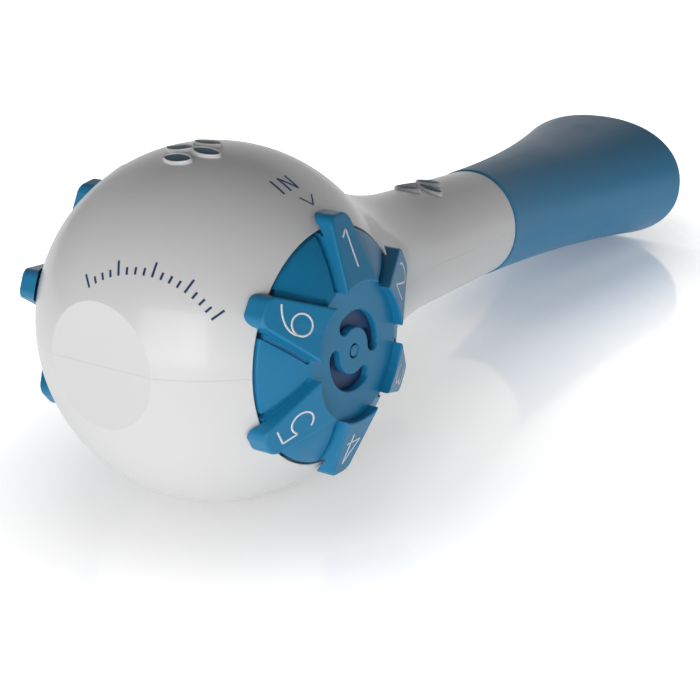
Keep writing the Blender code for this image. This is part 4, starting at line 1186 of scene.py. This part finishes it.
def detent_nub():
    """Small peg under the plate that clicks from one setting to the next."""
    low = POCKET_TOP + 2 * SEAT_GAP
    outline = arc((0, NUB_REACH), NUB_RADIUS, 0, 2 * math.pi, NUB_ARC)[:-1]
    return stacked([level(outline, z) for z in (low, low + NUB_HEIGHT)])


class TRAINER_OT_dials(bpy.types.Operator):
    """Build both dials: domed plate, six lugs, channels and curved windows"""
    bl_idname = "trainer.dials"
    bl_label = "Build the dials"

    def execute(self, context):
        material = finish_named("dial_blue_finish")
        for side, name in ((-1, "inhale_dial"), (1, "exhale_dial")):
            plate = mesh_object(name + "_finished", dial_plate())
            for hand in (1, -1):
                cut(plate, ringed(channel_shape(hand), material), "DIFFERENCE")
                cut(plate, ringed(notch_shape(hand), material), "DIFFERENCE")
            lugs = mesh_object("lugs", ringed(lug_shape(), material))
            cut(lugs, lug_underside(), "DIFFERENCE")
            cut(plate, taken(mesh_of(lugs)), "UNION")
            cut(plate, window_shape(), "DIFFERENCE")
            cut(plate, detent_nub(), "UNION")
            mesh = mesh_of(plate)
            mesh.transform(valve_matrix(side))
            smooth_with_rules(mesh, [ball_rule, hub_rule])
            finished_object(name + "_finished", mesh, material, name + "_body", [name])
        return {"FINISHED"}


# Printed strokes

def digit_strokes():
    """Strokes of the numbers, in a box one high with its base at 0, as lists of points."""
    def bow(cx, cy, rx, ry, start, end, steps=24):
        turns = [math.radians(start + (end - start) * i / steps) for i in range(steps + 1)]
        return [(cx + rx * math.cos(t), cy + ry * math.sin(t)) for t in turns]

    return {
        1: [[(-0.17, 0.80), (0.04, 1.0), (0.04, 0.0)]],
        2: [bow(0.0, 0.73, 0.25, 0.27, 170, -35) + [(-0.27, 0.0), (0.28, 0.0)]],
        3: [bow(-0.01, 0.75, 0.23, 0.25, 150, -90), bow(-0.01, 0.26, 0.27, 0.26, 90, -150)],
        4: [[(0.12, 0.0), (0.12, 1.0), (-0.28, 0.28), (0.28, 0.28)]],
        5: [[(0.24, 1.0), (-0.18, 1.0), (-0.22, 0.56)] + bow(-0.01, 0.32, 0.28, 0.32, 120, -150)],
        6: [bow(0.62, 0.40, 0.90, 0.66, 112, 178, 14) + bow(0.0, 0.30, 0.27, 0.30, 172, 532)],
    }


def stroke_tree(name):
    """Lays a flat ribbon along each curve."""
    tree, given, out = geometry_tree(name, [("Width", "Float", 0.4 * MM), ("Thickness", "Float", 0.06 * MM),
                                            ("Step", "Float", 0.3 * MM)])
    fine = add_node(tree, "GeometryNodeResampleCurve",
                    {"Curve": given["Geometry"], "Length": given["Step"]}, mode="LENGTH")
    upright = add_node(tree, "GeometryNodeSetCurveNormal", {"Curve": fine.outputs[0]}, mode="Z_UP")
    section = add_node(tree, "GeometryNodeCurvePrimitiveQuadrilateral",
                       {"Width": given["Width"], "Height": given["Thickness"]})
    ribbon = add_node(tree, "GeometryNodeCurveToMesh",
                      {"Curve": upright.outputs[0], "Profile Curve": section.outputs[0], "Fill Caps": True})
    return close_tree(tree, ribbon, given, out)


def printed(strokes, width, material):
    """A bmesh of flat ribbons along strokes in the XY plane."""
    curve = bpy.data.curves.new("strokes", "CURVE")
    curve.dimensions = "3D"
    for stroke in strokes:
        spline = curve.splines.new("POLY")
        spline.points.add(len(stroke) - 1)
        for point, place in zip(spline.points, stroke):
            point.co = (place[0], place[1], 0.0, 1.0)
    tree = group_once("printed_strokes", stroke_tree)
    return taken(run_geometry_nodes(linked("strokes", curve), tree, {"Width": width, "Material": material}))


def print_piece(name, shapes, material, body):
    """One finished piece from the printed shapes."""
    finished_object(name, plain_mesh(name, joined(shapes)), material, body)


NUMBER_CENTRE = 18.3 * MM
PRINT_LIFT = 0.02 * MM


class TRAINER_OT_numbers(bpy.types.Operator):
    """Print the numbers on the lugs of both dials"""
    bl_idname = "trainer.numbers"
    bl_label = "Print the numbers"

    def execute(self, context):
        dial = dial_sizes()
        material = finish_named("number_print_finish")
        height = dial.number_height
        tilt = Matrix.Rotation(-math.atan(dial.lug_slope), 4, "X")
        lay = Matrix.Translation((0, NUMBER_CENTRE, lug_height(NUMBER_CENTRE) + PRINT_LIFT)) @ tilt
        for side, name in ((-1, "inhale"), (1, "exhale")):
            shapes = []
            for digit, strokes in digit_strokes().items():
                sized = [[(x * height, (y - 0.5) * height) for x, y in stroke] for stroke in strokes]
                shape = printed(sized, dial.number_stroke, material)
                turn = Matrix.Rotation(-2 * math.pi * (digit - 1) / dial.settings, 4, "Z")
                shape.transform(valve_matrix(side) @ turn @ lay)
                shapes.append(shape)
            print_piece(name + "_numbers", shapes, material, name + "_dial_body")
        return {"FINISHED"}


def ball_wrap(shape, centre_direction, top_direction):
    """Bend a flat print on to the ball, its middle at one direction and its top towards another."""
    body = body_sizes()
    middle = Vector(centre_direction).normalized()
    top = Vector(top_direction)
    top = (top - middle * top.dot(middle)).normalized()
    right = top.cross(middle)
    for vert in shape.verts:
        reach = math.hypot(vert.co.x, vert.co.y)
        turn = reach / body.ball_radius
        out = middle * math.cos(turn)
        if reach > TINY:
            out = out + (right * vert.co.x + top * vert.co.y) / reach * math.sin(turn)
        vert.co = ball_centre() + out * (body.ball_radius + PRINT_LIFT + vert.co.z)


MARK_STROKE = 0.42 * MM
LETTER_GAP = 0.55
WORD_HEIGHT = 3.5 * MM
CHEVRON_STROKE = 0.28 * MM
CHEVRON = [(-1.7 * MM, 1.3 * MM), (0, -0.8 * MM), (1.7 * MM, 1.3 * MM)]

# Places on the ball in degrees: tilt from the dial's axis and turn round it
WORD_PLACE = (55.3, -4.0)
CHEVRON_PLACE = (49.8, 0.0)

# Ticks: number, first angle and span in degrees, distance from the row's centre, lengths
TICK_COUNT = 17
TICK_START, TICK_SPAN = -36.0, 88.0
TICK_REACH = 17.0 * MM
TICK_LONG, TICK_SHORT = 2.6 * MM, 1.3 * MM
TICK_CENTRE = (-1, -0.25, 0)


def word_strokes(letters, height):
    """Plain capital letters side by side, centred on the origin."""
    shapes = {
        "I": (0.0, [[(0, 0), (0, 1)]]),
        "N": (0.62, [[(0, 0), (0, 1), (0.62, 0), (0.62, 1)]]),
        "O": (0.84, [[(0.42 + 0.42 * math.cos(t), 0.5 + 0.5 * math.sin(t))
                      for t in np.linspace(0, 2 * math.pi, 37)]]),
        "U": (0.62, [[(0, 1), (0, 0.3)] + [(0.31 - 0.31 * math.cos(t), 0.3 - 0.3 * math.sin(t))
                                           for t in np.linspace(0, math.pi, 19)] + [(0.62, 1)]]),
        "T": (0.6, [[(0, 1), (0.6, 1)], [(0.3, 1), (0.3, 0)]]),
    }
    total = sum(shapes[letter][0] for letter in letters) + LETTER_GAP * (len(letters) - 1)
    cursor, strokes = -total / 2, []
    for letter in letters:
        width, lines = shapes[letter]
        strokes += [[((cursor + x) * height, y * height) for x, y in line] for line in lines]
        cursor += width + LETTER_GAP
    return strokes


class TRAINER_OT_marks(bpy.types.Operator):
    """Print the flow words with their chevrons and the row of ticks on the ball"""
    bl_idname = "trainer.marks"
    bl_label = "Print the marks on the ball"

    def execute(self, context):
        material = finish_named("navy_print_finish")
        shapes = []
        for side, letters in ((-1, "IN"), (1, "OUT")):
            axis = valve_matrix(side).to_3x3()
            for strokes, stroke, place in ((word_strokes(letters, WORD_HEIGHT), MARK_STROKE, WORD_PLACE),
                                           ([CHEVRON], CHEVRON_STROKE, CHEVRON_PLACE)):
                shape = printed(strokes, stroke, material)
                tilt, round_dial = (math.radians(degrees) for degrees in place)
                beside, above = math.sin(round_dial), math.cos(round_dial)
                direction = Vector((beside * math.sin(tilt), above * math.sin(tilt), math.cos(tilt)))
                upward = Vector((beside * math.cos(tilt), above * math.cos(tilt), -math.sin(tilt)))
                ball_wrap(shape, axis @ direction, axis @ upward)
                shapes.append(shape)
        shapes.append(self.tick_row(material))
        print_piece("ball_marks", shapes, material, "housing")
        return {"FINISHED"}

    def tick_row(self, material):
        """A row of ticks, long and short by turns, on a circle round the front flat's upper side."""
        strokes = []
        for index in range(TICK_COUNT):
            turn = math.radians(TICK_START + TICK_SPAN * index / (TICK_COUNT - 1))
            reach = TICK_LONG if index % 4 == 0 else TICK_SHORT
            strokes.append([polar(TICK_REACH, turn), polar(TICK_REACH + reach, turn)])
        shape = printed(strokes, MARK_STROKE, material)
        ball_wrap(shape, TICK_CENTRE, (0, 0, 1))
        return shape


# Mouthpiece

def mouthpiece_tree():
    """Places each point of a net by its station, inset, turn and round radius."""
    inputs = ("Start Radius", "Rim Half Width", "Rim Half Height", "Length", "Width Power", "Height Power",
              "Squareness")
    tree, given, out = geometry_tree("flared_mouthpiece", [(name, "Float", None) for name in inputs])

    def attribute(name):
        return add_node(tree, "GeometryNodeInputNamedAttribute", {"Name": name},
                        data_type="FLOAT").outputs["Attribute"]

    names = ("station", "inset", "turn", "round_radius")
    station, inset, turn, round_radius = (attribute(name) for name in names)
    share = math_node(tree, "DIVIDE", station, given["Length"])
    power = math_node(tree, "DIVIDE", 2.0, math_node(
        tree, "MULTIPLY_ADD", math_node(tree, "SUBTRACT", given["Squareness"], 2.0), share, 2.0))
    is_round = math_node(tree, "GREATER_THAN", round_radius, 0.0)

    def half(rim, flare, wave):
        """Half size along one axis times the superellipse's wave."""
        growth = math_node(tree, "SUBTRACT", given[rim], given["Start Radius"])
        spread = math_node(tree, "POWER", share, given[flare])
        grown = math_node(tree, "MULTIPLY_ADD", growth, spread, given["Start Radius"])
        walled = math_node(tree, "SUBTRACT", grown, inset)
        size = add_node(tree, "ShaderNodeMix", {0: is_round, 2: walled, 3: round_radius})
        value = math_node(tree, wave, turn)
        shaped = math_node(tree, "MULTIPLY", math_node(tree, "SIGN", value),
                           math_node(tree, "POWER", math_node(tree, "ABSOLUTE", value), power))
        return math_node(tree, "MULTIPLY", size.outputs[0], shaped)

    place = add_node(tree, "ShaderNodeCombineXYZ",
                     {0: station, 1: half("Rim Half Width", "Width Power", "COSINE"),
                      2: half("Rim Half Height", "Height Power", "SINE")})
    moved = add_node(tree, "GeometryNodeSetPosition",
                     {"Geometry": given["Geometry"], "Position": place.outputs[0]})
    return close_tree(tree, moved, given, out)


JOINT_EDGE = 0.25 * MM
LIP_SETBACK, LIP_STEP = 0.6 * MM, 0.05 * MM
WALL_SETBACK = 2 * MM
FLARE_ROWS, BORE_ROWS = 72, 40


def mouthpiece_rows(sizes, total):
    """Rows of (station, inset, round radius) from the joint, over the rim and back inside."""
    edge = JOINT_EDGE
    straight = total - sizes.lip / 2
    socket_end = sizes.socket_depth
    stop_end = socket_end + sizes.stop_length
    flare_start = stop_end + 3 * sizes.wall
    rows = [(edge * (1 - math.cos(t)), edge * (1 - math.sin(t)), 0.0)
            for t in np.linspace(0, math.pi / 2, SMALL_EDGE_POINTS)]
    rows += [(s, 0.0, 0.0) for s in np.linspace(edge, straight, FLARE_ROWS)[1:]]
    rows += [(straight + sizes.lip / 2 * math.sin(t), sizes.lip / 2 * (1 - math.cos(t)), 0.0)
             for t in np.linspace(0, math.pi, HALF_ROUND_POINTS)[1:-1]]
    rows += [(straight, sizes.lip, 0.0), (straight - LIP_SETBACK, sizes.lip + LIP_STEP, 0.0)]
    rows += [(s, sizes.wall, 0.0) for s in np.linspace(straight - WALL_SETBACK, flare_start, BORE_ROWS)]
    rows += [(stop_end, 0.0, sizes.stop_radius), (socket_end, 0.0, sizes.stop_radius),
             (socket_end, 0.0, sizes.socket_radius), (edge, 0.0, sizes.socket_radius),
             (0.0, 0.0, sizes.socket_radius + edge)]
    return rows


class TRAINER_OT_mouthpiece(bpy.types.Operator):
    """Build the flared mouthpiece with its socket and rounded lip"""
    bl_idname = "trainer.mouthpiece"
    bl_label = "Build the mouthpiece"

    def execute(self, context):
        sizes = settings("trainer_mouthpiece")
        material = finish_named("mouthpiece_blue_finish")
        start_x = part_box("mouthpiece")[0].x
        total = RIM_X - start_x
        rows = mouthpiece_rows(sizes, total)
        steps = MOUTHPIECE_STEPS
        faces = []
        for i in range(len(rows)):
            before, here = (i - 1) % len(rows) * steps, i * steps
            faces += [(before + (j - 1) % steps, before + j, here + j, here + (j - 1) % steps)
                      for j in range(steps)]
        mesh = bpy.data.meshes.new("mouthpiece_net")
        mesh.from_pydata([(0, 0, 0)] * (len(rows) * steps), [], faces)
        columns = {"station": np.repeat([row[0] for row in rows], steps),
                   "inset": np.repeat([row[1] for row in rows], steps),
                   "round_radius": np.repeat([row[2] for row in rows], steps),
                   "turn": np.tile([2 * math.pi * j / steps for j in range(steps)], len(rows))}
        for name, values in columns.items():
            attribute = mesh.attributes.new(name, "FLOAT", "POINT")
            attribute.data.foreach_set("value", np.array(values, np.float32))
        made = run_geometry_nodes(linked("mouthpiece_net", mesh), mouthpiece_tree(), {
            "Start Radius": sizes.start_radius, "Rim Half Width": RIM_HALF_WIDTH,
            "Rim Half Height": RIM_HALF_HEIGHT, "Length": total, "Width Power": sizes.width_power,
            "Height Power": sizes.height_power, "Squareness": sizes.squareness, "Material": material})
        made = plain_mesh("mouthpiece_finished", taken(made))
        made.transform(Matrix.Translation((start_x, 0, AXIS_Z)))
        made.shade_smooth()
        made.set_sharp_from_angle(angle=SOFT_SHARP_ANGLE)
        finished_object("mouthpiece_finished", made, material, "mouthpiece_body",
                        ["mouthpiece"])
        return {"FINISHED"}


class TRAINER_OT_inner_parts(bpy.types.Operator):
    """Give the seats, discs, pins, gaskets, port tube and seal their finishes"""
    bl_idname = "trainer.inner_parts"
    bl_label = "Finish the inner parts"

    def execute(self, context):
        finishes = {"seat": "seat_navy_finish", "disc": "valve_silicone_finish",
                    "gasket": "seal_rubber_finish", "seal": "seal_rubber_finish",
                    "pin": "dial_blue_finish", "tube": "white_moulding_finish"}
        for name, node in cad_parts.items():
            kind = name.split("_")[-1]
            if kind in finishes:
                for slot in node.material_slots:
                    slot.material = finish_named(finishes[kind])
        return {"FINISHED"}


# Stage

# Sensor in millimetres, the rest in metres
SENSOR_WIDTH = 36.0
CLIP_START = 0.01
SOFTBOX_SIZE = (0.40, 0.30)
SOFTBOX_PLACES = {"camera_softbox": (-0.42, -0.33, 0.06), "side_softbox": (-0.52, -0.12, 0.06)}
FLOOR_SIZE = 6.0
FLOOR_DROP = 0.02 * MM

# Floor: its white, reach of its shade, share of its glow under the object, power and least light of the
# shade as the camera sees it, share of that light for reflections, and the shade's range that
# shows a gloss
FLOOR_WHITE = (0.9, 0.9, 0.9, 1)
SHADE_REACH = 0.07
SHADED_GLOW = 0.25
SHADE_POWER, SHADE_LEAST = 2.2, 0.16
REFLECTED_SHARE = 0.4
GLOSS_POWER, GLOSS_ROUGHNESS = 4.0, 0.11
GLOSS_STARTS, GLOSS_ENDS = (0.3, 0.6), (0.84, 0.97)

# Sky: heights between which it turns dark, and the range over which a side turns bright
SKY_HIGH, SKY_SIDE = (0.45, 0.75), (0.35, 0.85)


def floor_frame():
    """Slope and height of the plane that the ball and the mouthpiece's rim rest on."""
    centre, radius = ball_centre(), body_sizes().ball_radius
    rim = Vector((RIM_X - settings("trainer_mouthpiece").lip / 2, 0, AXIS_Z - RIM_HALF_HEIGHT))
    across, up = rim.x - centre.x, rim.z - centre.z
    turn = math.asin(radius / math.hypot(across, up)) + math.atan2(up, across)
    slope = math.tan(turn)
    return slope, rim.z - slope * rim.x


class TRAINER_OT_stage(bpy.types.Operator):
    """Set the white floor, the soft lights and the camera"""
    bl_idname = "trainer.stage"
    bl_label = "Set the stage"

    def execute(self, context):
        stage = settings("trainer_stage")
        self.make_floor(stage)
        self.make_sky(stage)
        self.make_lights(stage)
        self.make_camera(stage)
        context.scene.view_settings.view_transform = "Standard"
        return {"FINISHED"}

    def make_floor(self, stage):
        slope, height = floor_frame()
        shape = bmesh.new()
        corners = [(x * FLOOR_SIZE, y * FLOOR_SIZE) for x, y in ((-1, -1), (1, -1), (1, 1), (-1, 1))]
        shape.faces.new([shape.verts.new((x, y, height + slope * x - FLOOR_DROP)) for x, y in corners])
        floor = mesh_object("floor", shape)
        floor.data.materials.append(self.floor_material(stage))

    def floor_material(self, stage):
        """White sheet that glows, darker close to the object, with a gloss that shows at low angles."""
        material = bpy.data.materials.new("white_floor")
        material.use_nodes = True
        tree = material.node_tree
        tree.nodes.clear()
        out = tree.nodes.new("ShaderNodeOutputMaterial")
        open_share = add_node(tree, "ShaderNodeAmbientOcclusion", {"Distance": SHADE_REACH},
                              samples=16).outputs["AO"]
        to_object = ramp(tree, open_share, 0.0, 1.0, stage.floor_glow * SHADED_GLOW, stage.floor_glow,
                         "LINEAR")
        seen = math_node(tree, "POWER", open_share, SHADE_POWER)
        seen = math_node(tree, "MULTIPLY_ADD", seen, stage.floor_white, SHADE_LEAST)
        rays = tree.nodes.new("ShaderNodeLightPath").outputs
        is_seen = math_node(tree, "MULTIPLY_ADD", rays["Is Glossy Ray"], REFLECTED_SHARE,
                            rays["Is Camera Ray"])
        strength = add_node(tree, "ShaderNodeMix", {0: is_seen, 2: to_object, 3: seen}).outputs[0]
        diffuse = add_node(tree, "ShaderNodeBsdfDiffuse", {"Color": FLOOR_WHITE})
        glow = add_node(tree, "ShaderNodeEmission", {"Color": (1, 1, 1, 1), "Strength": strength})
        lit = add_node(tree, "ShaderNodeAddShader", {0: diffuse.outputs[0], 1: glow.outputs[0]})
        gloss = add_node(tree, "ShaderNodeBsdfGlossy",
                         {"Color": (1, 1, 1, 1), "Roughness": GLOSS_ROUGHNESS})
        facing = tree.nodes.new("ShaderNodeLayerWeight").outputs["Facing"]
        share = math_node(tree, "MULTIPLY", ramp(tree, open_share, *GLOSS_STARTS, 0.0, stage.floor_gloss),
                          ramp(tree, open_share, *GLOSS_ENDS, 1.0, 0.0))
        share = math_node(tree, "MULTIPLY", share, math_node(tree, "POWER", facing, GLOSS_POWER))
        mixed = add_node(tree, "ShaderNodeMixShader", {0: share, 1: lit.outputs[0], 2: gloss.outputs[0]})
        tree.links.new(mixed.outputs[0], out.inputs["Surface"])
        return material

    def make_sky(self, stage):
        """World that is dark overhead and bright at the horizon behind and past the object."""
        world = bpy.data.worlds.new("studio")
        bpy.context.scene.world = world
        world.use_nodes = True
        tree = world.node_tree
        background = tree.nodes["Background"]
        direction = tree.nodes.new("ShaderNodeTexCoord").outputs["Generated"]
        split = add_node(tree, "ShaderNodeSeparateXYZ", {0: direction}).outputs
        high = ramp(tree, split["Z"], *SKY_HIGH)
        low = math_node(tree, "SUBTRACT", 1.0, high)
        strength = math_node(tree, "MULTIPLY", high, stage.sky_top)
        for axis, brightness in (("Y", stage.sky_far), ("X", stage.sky_right)):
            side = ramp(tree, split[axis], *SKY_SIDE, 0.0, brightness)
            strength = math_node(tree, "MULTIPLY_ADD", side, low, strength)
        tree.links.new(strength, background.inputs["Strength"])
        background.inputs["Color"].default_value = (1, 1, 1, 1)

    def make_lights(self, stage):
        """Two large soft boxes low over the floor, behind the camera and in front of the ball."""
        centre = ball_centre()
        powers = (stage.box_power, stage.side_power)
        for (name, place), power in zip(SOFTBOX_PLACES.items(), powers):
            light = bpy.data.lights.new(name, "AREA")
            light.shape = "RECTANGLE"
            light.size, light.size_y = SOFTBOX_SIZE
            light.energy = power
            lamp = linked(name, light)
            lamp.location = centre + Vector(place)
            lamp.rotation_mode = "QUATERNION"
            lamp.rotation_quaternion = (centre - lamp.location).to_track_quat("-Z", "Y")

    def make_camera(self, stage):
        camera = bpy.data.cameras.new("camera")
        camera.lens = stage.lens
        camera.sensor_width = SENSOR_WIDTH
        camera.clip_start = CLIP_START
        holder = linked("camera", camera)
        holder.location = ball_centre() + Vector(stage.camera_place)
        across = math.cos(stage.camera_pitch)
        ahead = Vector((math.cos(stage.camera_heading) * across, math.sin(stage.camera_heading) * across,
                        -math.sin(stage.camera_pitch)))
        holder.rotation_mode = "QUATERNION"
        holder.rotation_quaternion = ahead.to_track_quat("-Z", "Y")
        bpy.context.scene.camera = holder


BUILD_STEPS = (TRAINER_OT_shells, TRAINER_OT_inlays, TRAINER_OT_dials, TRAINER_OT_numbers,
               TRAINER_OT_marks, TRAINER_OT_mouthpiece, TRAINER_OT_inner_parts, TRAINER_OT_stage)
PROPERTY_GROUPS = {"trainer_body": TrainerBodySizes, "trainer_dial": TrainerDialSizes,
                   "trainer_mouthpiece": TrainerMouthpieceSizes, "trainer_colours": TrainerColours,
                   "trainer_stage": TrainerStageSettings}


class TRAINER_PT_panel(bpy.types.Panel):
    bl_label = "Breathing trainer"
    bl_idname = "TRAINER_PT_panel"
    bl_space_type = "VIEW_3D"
    bl_region_type = "UI"
    bl_category = "Trainer"

    def draw(self, context):
        for step in BUILD_STEPS:
            self.layout.operator(step.bl_idname)
        for name in PROPERTY_GROUPS:
            box = self.layout.box()
            group = getattr(context.scene, name)
            for prop in group.bl_rna.properties:
                if prop.identifier not in ("rna_type", "name"):
                    box.prop(group, prop.identifier)


CLASSES = tuple(PROPERTY_GROUPS.values()) + BUILD_STEPS + (TRAINER_PT_panel,)


def register():
    for item in CLASSES:
        bpy.utils.register_class(item)
    for name, group in PROPERTY_GROUPS.items():
        setattr(bpy.types.Scene, name, PointerProperty(type=group))


def unregister():
    for name in PROPERTY_GROUPS:
        delattr(bpy.types.Scene, name)
    for item in reversed(CLASSES):
        bpy.utils.unregister_class(item)


def main():
    register()
    for step in BUILD_STEPS:
        family, action = step.bl_idname.split(".")
        getattr(getattr(bpy.ops, family), action)()


if __name__ == "__main__":
    main()
